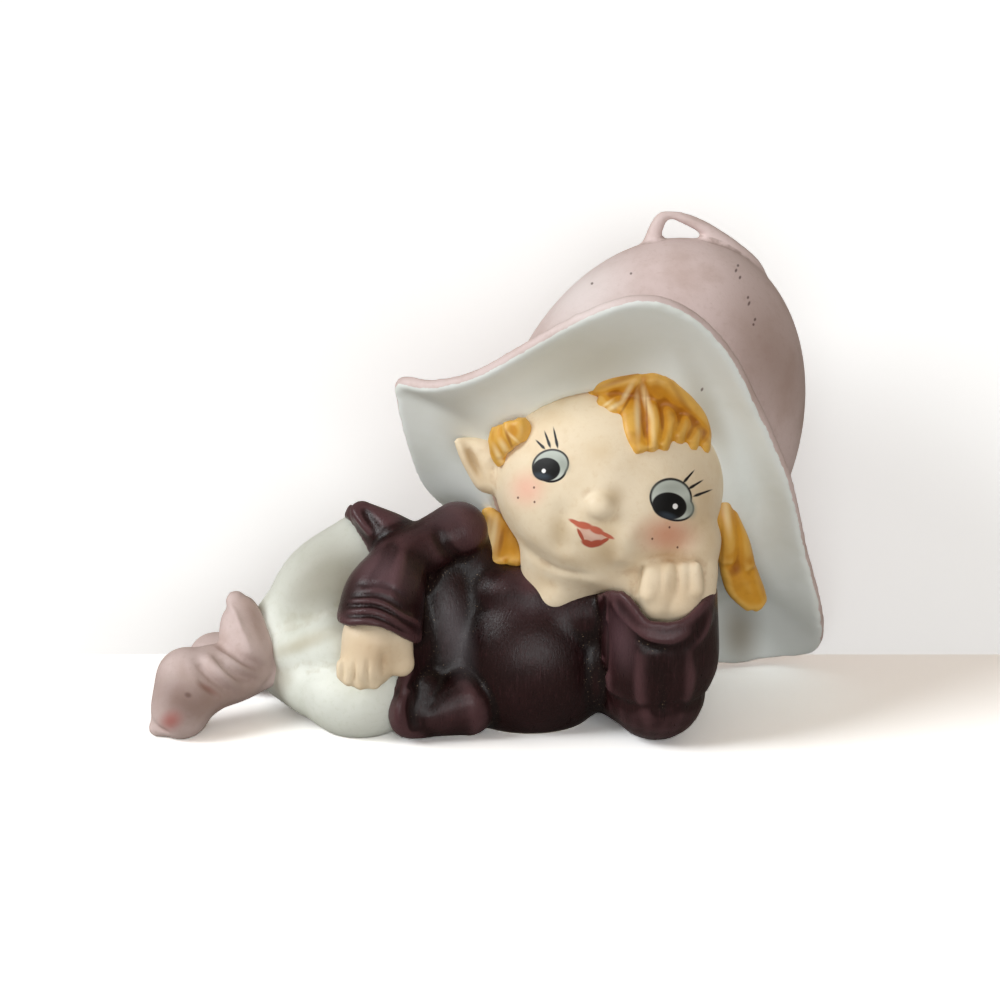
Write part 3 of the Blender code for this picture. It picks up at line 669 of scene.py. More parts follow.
def paint_face(finish, tree):
    brush = Brush(finish, tree).stroke

    # Shade washed in as the photograph's light gives it, on face and hands, and the sprayed blush
    for row in (
        ((196, 168, 128), (465, 446), (482, 481), 1.5, 0.8, 0.75),
        ((248, 178, 158), (514, 494), (540, 484), 4.0, 0.98, 0.60),
        ((220, 136, 102), (645, 534), (690, 536), 4.4, 0.98, 0.72),
        ((204, 168, 126), (348, 640), (404, 666), 5.6, 0.95, 0.50),
        ((204, 172, 132), (646, 592), (702, 590), 5.0, 0.95, 0.45),
        ((196, 168, 122), (559, 518), (561, 546), 2.6, 0.95, 0.50),
        ((176, 146, 100), (606, 490), (622, 500), 2.4, 0.95, 0.45),
        ((196, 166, 122), (612, 540), (607, 565), 2.4, 0.95, 0.35),
        ((196, 162, 118), (640, 556), (700, 556), 1.6, 0.9, 0.45),
        ((206, 178, 138), (700, 470), (712, 560), 4.0, 0.98, 0.45),
    ):
        brush(*row)

    # Eyes, each from its outline inwards: two overlapping ovals give the squared shape
    ink = (26, 22, 24)
    whites, shaded_white, iris, pupil = (203, 210, 202), (150, 158, 148), (72, 86, 100), (4, 4, 6)
    for marks, width in (((532.5, 471), (568.5, 459)), 4.55), (((538, 474), (566.5, 468)), 3.3):
        brush(ink, *marks, width, 0.03)
    for marks, width in (((533.5, 470.7), (567.5, 459.2)), 3.95), (((539, 473.3), (565.5, 467.7)), 2.8):
        brush(whites, *marks, width, 0.05, ends=-0.15)
    brush(shaded_white, (561, 458), (565.5, 472), 1.5, 0.8, share=0.6)
    brush(shaded_white, (538, 462), (559, 456.5), 1.7, 0.9, share=0.4)
    brush(ink, (532.2, 470.6), (560.2, 468.4), 3.35, 0.05)
    brush(pupil, (534, 469.2), (559.4, 467.6), 2.9, 0.10)
    brush(iris, (535, 474.8), (549, 477.0), 0.8, 0.8, share=0.55)
    brush((255, 255, 255), (541.6, 470.9), (545.8, 470.9), 0.62, 0.16)

    for marks, width in (((649.5, 495), (692, 500)), 5.6), (((655, 502), (694, 511)), 4.2):
        brush(ink, *marks, width, 0.03)
    for marks, width in (((651, 495.3), (690.8, 500.2)), 4.95), (((657, 502.3), (692.8, 510.7)), 3.6):
        brush(whites, *marks, width, 0.05, ends=-0.12)
    brush(shaded_white, (688, 500), (691.5, 516), 1.5, 0.8, share=0.8)
    brush(shaded_white, (655, 489), (684, 487), 1.6, 0.9, share=0.5)
    brush(ink, (652.2, 503.0), (686.6, 508.8), 3.85, 0.05)
    brush(pupil, (653.6, 502.6), (685.2, 508.0), 3.45, 0.10)
    brush(iris, (661, 513.6), (676, 518.0), 0.8, 0.7, share=0.45)
    brush((255, 255, 255), (672.6, 506.3), (677.8, 506.3), 0.78, 0.16)
    lashes = (
        ((544.5, 448.6), (536.5, 440.7)), ((550.2, 447), (544.9, 432.2)), ((557.6, 447.2), (553.7, 428.7)),
        ((683.6, 482.4), (693.6, 471)), ((689, 488.6), (702.1, 480.6)), ((694, 496.2), (710.9, 490)),
    )
    for root, tip in lashes:
        middle = [(a + b) / 2 for a, b in zip(root, tip)]
        brush(ink, root, tip, 0.32, 0.3, ends=0.1)
        brush(ink, root, middle, 0.42, 0.4)
    for x, y in ((534, 487.5), (518, 497.7), (534.5, 502), (669.5, 527.3), (652.3, 538.8), (677.5, 547.3)):
        brush((96, 48, 38), (x - 1, y), (x + 1, y), 0.34, 0.4, share=0.9)

    # The open smile: pale inside, brick red round it
    brush((226, 184, 164), (579, 530), (605, 540), 1.9, 0.15)
    brush((238, 206, 188), (586, 532), (600, 537), 0.9, 0.7, share=0.6)
    red, deep_red = (204, 108, 84), (184, 88, 66)
    for colour, start, end, width in (
        (red, (569.5, 519.6), (584, 526.5), 0.62), (red, (575, 523.6), (592, 527.2), 1.0),
        (red, (590, 527.6), (603, 533), 1.0), (red, (600, 532), (613.5, 538.6), 0.56),
        (deep_red, (577.6, 529), (584.0, 541.5), 0.50), (deep_red, (582, 541), (594, 546.0), 0.95),
        (deep_red, (588, 545.2), (603.5, 542.0), 1.0), (deep_red, (600, 543), (608.5, 538.6), 0.55),
    ):
        brush(colour, start, end, width, 0.25, ends=0.08)


# Pieces

def brim_rings():
    centre = HEAD + Vector((0, HEAD_RADII.y * 0.08, 0))
    band, middle, edge = [], [], []
    for point in BRIM_EDGE:
        outward = Vector((point[0], 0, point[2])).normalized()
        inner = centre + BAND_LEAN @ (outward * BAND_RADIUS)
        outer = HEAD + Vector(point)
        sag = (inner - HEAD).normalized() * 0.6 + Vector((0, 1.6, 0))
        band.append(inner)
        middle.append(inner.lerp(outer, 0.5) + sag)
        edge.append(outer)
    return [band, middle, edge]


def make_hat():
    tip = (
        (757, 302, 2.5), (751, 272, 2.0), (731, 249, 1.5), (713, 234.5, 1.2), (700, 225.5, 1.0),
        (684, 218.3, 0.85),
        (671, 215, 0.65), (662, 217.5, 0.9), (656.5, 227, 1.1), (652.5, 238, 1.2), (650, 248, 1.5),
    )
    body = press("hat", [
        ball(CROWN, CROWN_RADII, CROWN_LEAN),
        limb([HEAD + Vector((2.5, 7, 2)), CROWN + Vector((-2, -1, 0))],
             [BAND_RADIUS * 0.94, CROWN_RADII.y * 0.95]),
        sheet(brim_rings(), BRIM_THICKNESS),
    ], 0.55, 10)
    hat = press("hat", [body, limb([spot(x, y, 16.0) for x, y, _ in tip], [r for _, _, r in tip])], 0.46, 4)
    middle = surface_tree(sheet_mesh(brim_rings()))
    lining = []
    for vertex in hat.data.vertices:
        near, normal, _, gap = middle.find_nearest(vertex.co)
        side = -(vertex.co - near).dot(normal) / MM
        lining.append(side if gap < 3 * MM else math.copysign(gap / MM, side))
    keep_number(hat, "lining", lining)
    return hat


def marks_of(rows, depth=None):
    """Places and radii from rows of (across, down, depth, radius), or (across, down, radius) at one depth."""
    if depth is not None:
        rows = [(x, y, depth, r) for x, y, r in rows]
    return [spot(x, y, d) for x, y, d, _ in rows], [r for *_, r in rows]


def seen_limb(*rows, depth=None):
    return limb(*marks_of(rows, depth))


def make_skin(clothes):
    shirt = tree_of(clothes)

    def resting(across, down, radius, sunk):
        """A ball's centre, sunk by this share of its radius into the clothes seen there."""
        return seen_on(shirt, across, down) + FORWARD * radius * sunk

    head = press("head", [
        ball(HEAD + Vector((0, 0, 0.5)), HEAD_RADII - Vector((-0.2, 0, 0.1)), HEAD_TILT),
        seen_limb((690, 540, -8.5, 4.8), (684, 560, -9.0, 5.0)),
        limb([spot(552, 546, -6.0), resting(551, 580, 4.2, 0.45), resting(556, 592, 3.4, 0.45)],
             [4.8, 4.4, 3.4]),
        limb([spot(576, 552, -8.0), resting(573, 584, 3.8, 0.45)], [4.8, 3.9]),
        limb([spot(600, 556, -9.5), resting(594, 580, 3.4, 0.45)], [4.8, 3.2]),
        limb([spot(612, 560, -9.0), spot(640, 586, -10.0)], [4.6, 3.4]),
    ], 0.42, 44)
    for marks, width, depth in (
        (((524, 512), (532, 530)), 4.4, -0.7), (((660, 530), (676, 545)), 4.6, -0.6),
        (((574, 558), (590, 560)), 4.0, -0.6), (((628, 536), (624, 556)), 2.0, -0.9),
        (((562, 514), (560, 544)), 1.5, 0.55), (((642, 540), (644, 552)), 1.4, 0.3),
        (((612, 540), (610, 562)), 1.9, 0.35), (((582, 528), (602, 536)), 2.2, -0.45),
        (((640, 470), (632, 488)), 3.0, 0.35), (((576, 476), (582, 488)), 2.4, 0.35),
        (((574, 522), (592, 528), (608, 538)), 0.6, 0.22),
    ):
        score(head, marks, width, depth, taper=False)
    tree = tree_of(head)
    nose = seen_on(tree, 601, 505) + FORWARD * 0.85
    knuckles = (
        ((649, 594), (652, 572), 1.30), ((668, 594), (669, 568), 1.02),
        ((683, 593), (684, 567), 0.84), ((697, 590), (696, 567), 0.90),
    )
    forms = [
        head,
        ball(nose, (2.45, 2.3, 2.2)),
        seen_limb((458, 442, 0.7), (469, 458, 1.35), (484, 480, 1.7), depth=-3.6),
        seen_limb((459, 441.5, 0.75), (472, 446.5, 1.5), (490, 454, 2.6), depth=-3.0),
        seen_limb((471, 452, 1.5), (484, 468, 2.6), depth=-2.8),
        seen_limb((489, 478, 2.4), (500, 476, 3.4), depth=-2.6),
        seen_limb((658, 600, -13.6, 3.4), (662, 578, -13.8, 3.0)),
        seen_limb((680, 600, -13.6, 3.4), (684, 576, -13.2, 3.0)),
        seen_limb((696, 592, -12.4, 3.0), (701, 568, -11.0, 2.6)),
        limb([(23.8, -11.0, 17.2), spot(670, 600, -13.0)], [3.4, 3.6]),
        seen_limb((374, 640, -12.4, 4.9), (368, 660, -13.2, 4.2)),
        seen_limb((390, 642, -12.6, 3.9), (401, 663, -13.5, 2.1)),
    ]
    for low, top, radius in knuckles:
        forms.append(limb([spot(*low, -15.6), spot(*top, -15.0)], [radius * 1.2, radius * 1.05]))
    for top, tip, radius in (
        ((341, 664), (340.5, 677), 0.72), ((349, 666), (348.5, 681), 0.95),
        ((361, 667), (360.5, 684.5), 1.00), ((375, 666), (374, 683), 1.12),
    ):
        forms.append(limb([spot(*top, -15.3), spot(*tip, -15.5)], [radius * 1.15, radius]))
    skin = press("skin", forms, 0.34, 18)
    for marks, width, depth in (
        (((343, 662), (343, 684)), 0.30, 0.38), (((354.5, 660), (354, 688)), 0.32, 0.45),
        (((367.5, 660), (367.3, 688)), 0.32, 0.45), (((384, 652), (386, 676)), 0.8, 0.6),
        (((661, 594), (661.5, 565)), 0.36, 0.20), (((677.5, 594), (677.5, 563)), 0.34, 0.18),
        (((689.5, 592), (689.5, 562)), 0.34, 0.16),
        (((467, 447), (472.5, 460), (481, 479)), 0.62, 0.9), (((478, 450), (488, 459)), 0.8, 0.25),
        (((528, 552), (551, 567), (570, 573), (598, 576)), 0.9, 0.28),
    ):
        score(skin, marks, width, depth)
    return skin


def make_hair(skin, hat):
    """Each lock lies on the head and the lining where the front view shows it, or hangs at its own depth."""
    trees = [tree_of(skin), tree_of(hat)]
    pixel = 1 / PIXELS_PER_MM
    locks = []

    def lay(places, radii, twist):
        locks.extend((limb(places, [r * LOCK_CORE for r in radii]), comb(places, radii, twist)))

    def lying(rows, twist):
        path = smooth_path(rows, steps=3)
        places = [first_seen(trees, x, y, FRINGE_DEPTH) + FORWARD * r * pixel * LOCK_SUNK for x, y, r in path]
        lay(places, [r * pixel for _, _, r in path], twist)

    def hanging(rows, twist):
        places, radii = marks_of(rows)
        lay(places, [r * pixel for r in radii], twist)

    for rows, twist in (
        (((640, 378, 7), (612, 384, 9), (591, 394, 3.5)), 0.5),
        (((637, 378, 7), (618, 392, 9), (600, 405, 3.5)), 0.5),
        (((636, 380, 6), (625, 398, 9), (610, 411, 3.5)), 0.5),
        (((637, 388, 6), (630, 403, 8), (621, 414, 3)), 0.5),
        (((638, 390, 5), (632, 412, 10), (634, 434, 8.5), (642, 452, 3)), 0.5),
        (((641, 384, 5), (648, 408, 11), (652, 430, 9.5), (650, 451, 3.5)), 0.3),
        (((646, 377, 7), (661, 402, 12), (668, 426, 11), (662, 449, 4)), 0.3),
        (((652, 376, 7), (675, 400, 12), (683, 424, 11), (677, 441, 5)), 0.3),
        (((660, 379, 7), (685, 402, 12), (695, 428, 11), (691, 447, 5)), 0.3),
        (((666, 382, 6), (694, 410, 10), (704, 434, 9), (704, 450, 4)), 0.3),
    ):
        lying(rows, twist)
    for rows in (
        ((519, 420, -8.6, 4), (523.5, 430, -9.0, 7.5), (520, 439, -9.4, 3)),
        ((511, 422, -8.2, 3.5), (512, 433, -9.0, 6.5), (518, 444, -9.4, 2.5)),
        ((505, 426, -7.4, 3.5), (502, 439, -8.2, 6.5), (509, 451, -8.4, 2.5)),
        ((499, 428, -6.6, 3), (496, 442, -7.2, 5.5), (502, 457, -7.6, 2.5)),
        ((496, 440, -6.2, 2.2), (498, 454, -6.8, 3.5), (504, 464, -7.2, 1.6)),
    ):
        hanging(rows, 0.5)
    for rows in (
        ((719, 490, -1.8, 4), (723, 514, -2.6, 9.5), (728, 542, -2.6, 11), (726, 562, -2.4, 5)),
        ((722, 492, -0.8, 4), (731, 520, -1.4, 10), (741, 546, -1.4, 11.5), (748, 568, -1.2, 5)),
        ((725, 550, -1.4, 8), (728, 568, -1.6, 9.5), (735, 588, -1.0, 9), (752, 606, -0.2, 4)),
        ((736, 552, -0.6, 9), (741, 574, -0.8, 11), (749, 592, -0.2, 10.5), (760, 607, 0.2, 4)),
        ((745, 556, 0.0, 7), (751, 573, 0.0, 8.5), (757, 590, 0.4, 7.5), (761, 603, 0.6, 4)),
    ):
        hanging(rows, 0.6)
    for rows in (
        ((489, 508, 1.6, 2.5), (489, 526, 0.4, 4), (485, 543, -1.0, 5), (480, 560, -2.0, 5)),
        ((494, 513, 1.2, 2.5), (496, 530, 0.0, 4.5), (492, 547, -1.4, 5), (487, 562, -2.4, 5)),
        ((500, 522, 0.8, 2.5), (502, 538, -0.6, 4.5), (499, 552, -2.0, 5), (496, 564, -3.2, 5)),
        ((506, 530, 0.2, 2.5), (508, 545, -1.4, 4.5), (508, 560, -3.0, 5)),
        ((511, 540, -0.6, 2.5), (514, 552, -2.0, 4), (517, 564, -3.6, 4)),
    ):
        hanging(rows, 0.3)
    return press("hair", locks, 0.25, 20)


def prop_sleeve():
    """The bell of the sleeve that the head leans on, up to its dipping rim."""
    rim = [
        spot(x, y, d) for x, y, d in (
            (713, 588, -12.0), (705, 598, -15.4), (692, 612, -17.2), (677, 621, -18.2),
            (661, 622, -18.4), (647, 618.5, -18.2), (635, 604, -17.4), (624, 592.5, -15.8),
            (610, 590, -13.4), (601, 594, -11.0), (606, 590, -7.6), (626, 588, -5.4),
            (648, 588, -4.6), (672, 588, -4.8), (694, 588, -6.4), (708, 586, -9.2),
        )
    ]
    rings = []
    for centre, wide, deep in (((23.0, -10.6, 8.5), 7.2, 6.4), ((23.5, -11.2, 13.4), 8.0, 6.9)):
        rings.append([
            Vector(centre) + Vector((wide * math.cos(a), -deep * math.sin(a), 0))
            for a in (math.tau * k / 16 for k in range(16))
        ])
    return sheet([*rings, rim], 1.25)


def near_cuff():
    """The bell of the near sleeve, down to its slanting rim over the back of the hand."""
    rim = [
        spot(x, y, d) for x, y, d in (
            (417, 643, -12.6), (409, 641, -15.2), (396, 634, -17.0), (380, 627, -18.0), (363, 625, -17.8),
            (349, 626, -16.6), (341, 623, -14.2), (341, 615, -11.2), (350, 607, -8.2), (366, 602, -6.4),
            (384, 602, -6.2), (400, 608, -7.2), (411, 620, -9.0), (417, 633, -10.8),
        )
    ]
    rings = []
    for (x, y, d), radius in (((402, 556, -6.2), 3.4), ((386, 590, -9.4), 5.2)):
        centre = spot(x, y, d)
        along = (spot(378, 622, -12.4) - spot(393, 566, -7.2)).normalized()
        side = Vector((1, 0, 0)) - along * along.x
        side.normalize()
        front = along.cross(side)
        if front.y > 0:
            front = -front
        rings.append([
            centre + side * math.cos(a) * radius + front * math.sin(a) * radius
            for a in (math.tau * k / 14 for k in range(14))
        ])
    return sheet([*rings, rim], 1.3)


def make_tunic():
    waist, belly, chest = Vector((-8.5, 1.0, 11.8)), Vector((4.4, 0.0, 10.0)), Vector((17.0, 1.0, 11.2))
    collar = Vector((9.0, -4.1, 17.8))
    torso = press("torso", [
        ball(belly, (13.5, 13.1, 13.9)),
        ball(waist, (11.5, 9.25, 13.1)),
        limb([belly, chest], [10.5, 10.5]),
        limb([belly + Vector((0, 0, 4)), collar], [10.5, 5.6]),
        limb([collar, (17.2, -6.0, 18.8)], [5.6, 5.0]),
        limb([belly + Vector((-6, 2, 4)), (-6.2, -1.0, 28.3)], [8.2, 4.3]),
        seen_limb((470, 596, -1.5, 4.2), (500, 594, -3.5, 4.6), (530, 596, -4.8, 4.4)),
        seen_limb((440, 560, -0.6, 5.4), (442, 606, -2.4, 6.4), (438, 660, -3.8, 6.2)),
        seen_limb((446, 650, -3.4, 6.0), (450, 700, -5.2, 6.0)),
        limb([chest, (23.0, -10.0, 7.4)], [10.5, 7.4]),
        limb([(27.2, -3.5, 9.5), (27.8, -4.5, 15.0)], [4.8, 4.4]),
    ], 0.6, 22)
    hem = [Vector(p) for p in HEM_EDGE]
    ring = []
    for i in range(len(hem)):
        angle = -math.tau * i / len(hem)
        ring.append(waist + Vector((1.0, math.sin(angle) * 8.5, math.cos(angle) * 12.0 + 0.6)))
    middle = [a.lerp(b, 0.5) - Vector((0, (b - a).y * 0.12, 0)) for a, b in zip(ring, hem)]
    arm = ((458, 531, -2.0), (430, 545, -4.2), (402, 562, -6.6), (387, 585, -8.8))
    cuff = ((392, 570, -7.6), (386, 588, -9.2), (381, 605, -10.6), (379, 622, -12.0))
    tunic = press("tunic", [
        torso,
        limb([spot(*p) for p in arm], [4.5, 4.1, 4.5, 4.9]),
        near_cuff(),
        folds([spot(*p) for p in cuff[1:]], [5.1, 5.4, 5.75], 3, 0.5, 3),
        limb([(-12.6, -4.8, 25.0), waist], [4.2, 3.7]),
        limb([(-21.0, 3.0, 29.4), (-15.0, 3.0, 27.0)], [1.5, 2.8]),
        seen_limb((362, 513, -0.8, 1.9), (386, 530, -2.6, 3.0), (412, 546, -3.4, 3.4)),
        sheet([ring, middle, hem], 2.0),
        seen_limb((424, 686, -9.4, 3.0), (424, 710, -10.2, 3.6), (462, 700, -8.2, 5.6)),
        seen_limb((407, 692, -12.6, 1.3), (402, 709, -12.8, 2.0), (406, 723, -12.2, 2.2),
                  (425, 720, -10.4, 2.7), (446, 714, -8.4, 3.0)),
        limb([(23.0, -10.0, 7.4), (23.4, -10.8, 12.6)], [7.4, 6.9]),
        prop_sleeve(),
    ], 0.40, 7)
    for marks, width, depth in (
        (((437, 530), (446, 548), (462, 562)), 1.0, 0.5),
        (((602, 600), (604, 640), (602, 690), (600, 712)), 1.1, 1.0),
        (((612, 600), (622, 618), (640, 634), (668, 640), (694, 630)), 0.9, -0.6),
        (((613, 612), (630, 632), (648, 646), (672, 650)), 0.8, 0.5),
        (((690, 650), (704, 632), (712, 610)), 0.9, -0.4),
        (((608, 604), (608, 650), (608, 700)), 0.55, -0.45),
        (((640, 648), (640, 690), (646, 720)), 1.2, -0.4),
        (((660, 652), (664, 690), (662, 720)), 1.1, 0.4), (((688, 645), (690, 680), (684, 712)), 1.1, -0.4),
        (((352, 596), (380, 597), (409, 613)), 0.40, 0.32),
        (((348, 606), (378, 607), (412, 625)), 0.40, 0.34),
        (((346, 616), (376, 617), (412, 636)), 0.40, 0.30),
        (((358, 584), (384, 585), (406, 598)), 0.45, 0.25),
        (((349, 601), (378, 602), (410, 619)), 0.40, -0.25),
        (((347, 611), (377, 612), (412, 631)), 0.40, -0.25),
        (((352, 508), (361, 521), (372, 536)), 0.7, -0.5), (((360, 505), (370, 520), (380, 532)), 0.9, 0.5),
        (((403, 694), (399, 710), (399, 726)), 0.7, -0.5), (((411, 690), (410, 712), (414, 734)), 0.9, 0.5),
        (((392, 540), (386, 560), (368, 584)), 0.9, 0.3), (((404, 548), (398, 572), (392, 594)), 0.8, -0.3),
    ):
        score(tunic, marks, width, depth)
    return tunic


def make_trousers():
    trousers = press("trousers", [
        limb([(-16.5, 3.6, 17.2), (-24.8, 3.0, 16.8), (-30.0, 2.8, 14.2), (-35.0, 2.0, 10.8)],
             [11.6, 9.6, 6.8, 4.6]),
        seen_limb((366, 566, 3.6, 8.2), (322, 586, 2.6, 6.8), (292, 622, 2.4, 5.2)),
        limb([(-8.5, 1.0, 11.8), (-20.0, -6.8, 6.2), (-27.5, -4.5, 6.2)], [7.3, 7.3, 5.2]),
        limb([(-24.0, -1.0, 9.0), (-31.0, 1.0, 8.0)], [6.4, 4.6]),
        seen_limb((300, 650, -2.6, 4.2), (345, 642, -5.2, 5.6)),
        limb([(-27.5, -4.5, 6.2), (-35.0, 7.5, 5.2)], [5.2, 4.2]),
    ], 0.5, 26)
    for marks, width, depth in (
        (((335, 590), (338, 612), (334, 632)), 1.8, 0.3), (((306, 676), (322, 696), (340, 712)), 2.6, -0.4),
    ):
        score(trousers, marks, width, depth)
    return trousers


def make_boots():
    foot = press("foot", [
        seen_limb((181, 709, -9.2, 4.6), (187, 678, -6.6, 4.75)),
        seen_limb((190, 690, -7.6, 5.1), (210, 678, -5.4, 5.0), (231, 673, -3.2, 4.7), (250, 667, -1.6, 4.3),
                  (266, 662, -0.6, 3.8)),
        seen_limb((166, 722, -9.4, 2.6), (157, 728, -9.6, 1.5)),
    ], 0.4, 16)
    boots = press("boots", [
        foot,
        seen_limb((248, 652, -1.8, 4.4), (243.5, 630, -0.8, 3.8), (240, 609, 0.0, 2.7), (236, 600, 0.2, 1.5)),
        limb([(-35.0, 7.5, 5.2), (-44.0, 10.5, 4.5)], [4.4, 4.2]),
    ], 0.34, 12)
    for marks, width, depth in (
        (((198, 662), (212, 677), (234, 695)), 0.85, 0.95),
        (((205, 655), (219, 670), (237, 687)), 0.85, -0.75),
        (((218, 660), (233, 672), (254, 682)), 0.75, 0.85), (((222, 652), (237, 663), (259, 674)), 0.8, -0.6),
        (((219, 644), (236, 656), (261, 668)), 0.75, 0.85),
        (((224, 597), (236, 612), (243, 630), (250, 650)), 0.8, -0.8),
        (((151, 719), (158, 728), (169, 733)), 0.6, 0.35),
        (((246, 596), (258, 612), (266, 634), (272, 650)), 0.7, -0.3),
        (((198, 676), (208, 688), (218, 697)), 0.55, 0.35), (((234, 602), (242, 618), (248, 640)), 1.2, 0.5),
        (((262, 690), (276, 672), (278, 654)), 0.8, 0.4),
    ):
        score(boots, marks, width, depth)
    return boots


def skin_paint(piece):
    finish = bisque(
        "ivory skin", (246, 229, 200), (230, 205, 166), 0.44,
        fold_colour=(178, 134, 84), fold_share=0.30,
    )
    finish.shader.inputs["Specular IOR Level"].default_value = 0.30
    paint_face(finish, tree_of(piece))
    return finish.done(0.018)


def hair_paint(piece):
    finish = bisque(
        "golden hair", (220, 156, 40), (198, 128, 18), 0.42,
        fold_colour=(150, 84, 8), fold_share=0.15,
    )
    finish.over((244, 204, 112), finish.fade(finish.relief, 0.04, 0.18, 0.0, 0.45))
    finish.over((170, 98, 8), finish.fade(finish.relief, 0.0, -0.14, 0.0, 0.7))
    finish.over((176, 108, 10), finish.times(finish.fade(finish.noise(3.4, 2), 0.5, 0.75), 0.4))
    brush = Brush(finish, tree_of(piece)).stroke
    # Painted highlights: cream strokes along the ridges of the locks and on the nape, where the light falls
    cream = (252, 226, 172)
    for start, end, width, share in (
        ((637, 396), (638, 434), 0.75, 0.8), ((643, 388), (652, 418), 0.85, 0.9),
        ((652, 418), (654, 446), 0.6, 0.5),
        ((632, 384), (622, 402), 0.7, 0.8), ((620, 403), (603, 413), 0.6, 0.8),
        ((612, 400), (601, 408), 0.4, 0.7),
        ((724, 494), (729, 530), 0.9, 0.7), ((493, 518), (489, 558), 2.2, 0.6),
        ((489, 522), (484, 552), 0.6, 0.8), ((496, 520), (491, 548), 0.7, 0.8),
        ((500, 440), (507, 452), 0.8, 0.6), ((494, 446), (502, 463), 0.7, 0.7),
        ((508, 433), (519, 443), 0.4, 0.6),
    ):
        brush(cream, start, end, width, 0.9, share=share)
    # Painted shade: dark strokes in the grooves between locks and under the brim's edge
    for start, end, width, share in (
        ((646, 398), (648, 446), 0.32, 0.7), ((636, 388), (620, 414), 0.34, 0.7),
        ((738, 568), (730, 574), 1.2, 0.6),
        ((505, 430), (512, 447), 0.42, 0.7), ((503, 530), (499, 552), 0.6, 0.6),
        ((600, 388), (640, 372), 0.8, 0.5),
        ((672, 384), (704, 436), 0.8, 0.4), ((722, 530), (722, 566), 0.5, 0.5),
    ):
        brush((150, 78, 4), start, end, width, 0.8, share=share)
    return finish.done(0.02)


def tunic_paint(piece):
    finish = bisque(
        "plum brown tunic", (38, 15, 16), (24, 7, 8), 0.40,
        fold_colour=(104, 88, 76), fold_share=0.0,
    )
    streaks = finish.noise(0.30, 4, stretch=(1, 1, 10), rough=0.6, warp=0.4)
    finish.over((74, 40, 44), finish.fade(streaks, 0.54, 0.80, 0.0, 0.6))
    finish.over((22, 8, 9), finish.fade(streaks, 0.46, 0.28, 0.0, 0.7))
    finish.over((112, 78, 82), finish.fade(finish.relief, 0.10, 0.34, 0.0, 0.45))
    folds_in = finish.fade(finish.relief, -0.02, -0.20)
    finish.over((16, 7, 7), finish.times(folds_in, 0.75))
    dust = finish.fade(finish.noise(0.28, 2), 0.66, 0.72)
    finish.over((140, 120, 98), finish.times(folds_in, dust, 0.7))
    finish.rough = finish.fade(streaks, 0.3, 0.75, 0.27, 0.42)
    finish.shader.inputs["Specular IOR Level"].default_value = 0.28
    # Sheen of the photograph's light, laid on as paint
    brush = Brush(finish, tree_of(piece)).stroke
    for tone, start, end, width, share in (
        ((124, 118, 124), (452, 606), (463, 668), 3.4, 0.50),
        ((116, 90, 96), (366, 560), (402, 586), 4.6, 0.50),
        ((108, 80, 86), (617, 614), (626, 664), 3.0, 0.50), ((92, 74, 78), (430, 520), (470, 516), 3.2, 0.35),
        ((70, 50, 54), (500, 610), (560, 604), 3.4, 0.40),
    ):
        brush(tone, start, end, width, 0.98, share=share)
    finish.raise_by(finish.times(streaks, 1.8))
    bare_underside(finish)
    return finish.done(0.030)


def trouser_paint(piece):
    finish = bisque(
        "mint white trousers", (236, 240, 231), (214, 218, 202), 0.5,
        fold_colour=(176, 166, 134), fold_share=0.22,
    )
    # Shade of the photograph's light, laid on as paint
    brush = Brush(finish, tree_of(piece)).stroke
    for row in (
        ((166, 152, 112), (276, 654), (336, 630), 1.9, 0.95, 0.5),
        ((158, 150, 124), (276, 690), (288, 668), 2.8, 0.9, 0.45),
        ((120, 112, 90), (352, 545), (350, 636), 7.5, 0.98, 0.85),
        ((130, 122, 100), (330, 550), (298, 612), 7.0, 0.98, 0.75),
    ):
        brush(*row)
    bare_underside(finish)
    return finish.done(0.022)


def boot_paint(piece):
    finish = bisque(
        "dusty pink boots", (218, 198, 194), (192, 168, 158), 0.55,
        fold_colour=(150, 120, 104), fold_share=0.12,
    )
    # Shade of the photograph's light, laid on as paint
    brush = Brush(finish, tree_of(piece)).stroke
    for row in (
        ((150, 122, 108), (246, 600), (268, 644), 2.2, 0.8, 0.6),
        ((132, 102, 90), (244, 690), (266, 650), 4.0, 0.98, 0.6),
        ((140, 106, 92), (196, 706), (246, 690), 5.0, 0.95, 0.6),
        ((116, 84, 70), (166, 716), (190, 686), 7.5, 0.98, 0.75),
    ):
        brush(*row)
    # Rubbed toe and marks
    for row in (
        ((168, 84, 76), (163, 726), (179, 716), 2.2, 0.95, 0.75),
        ((110, 78, 68), (185, 694), (191, 696), 0.7, 0.7, 0.8),
        ((140, 84, 72), (200, 684), (216, 694), 0.8, 0.9, 0.6),
    ):
        brush(*row)
    bare_underside(finish)
    return finish.done(0.024)


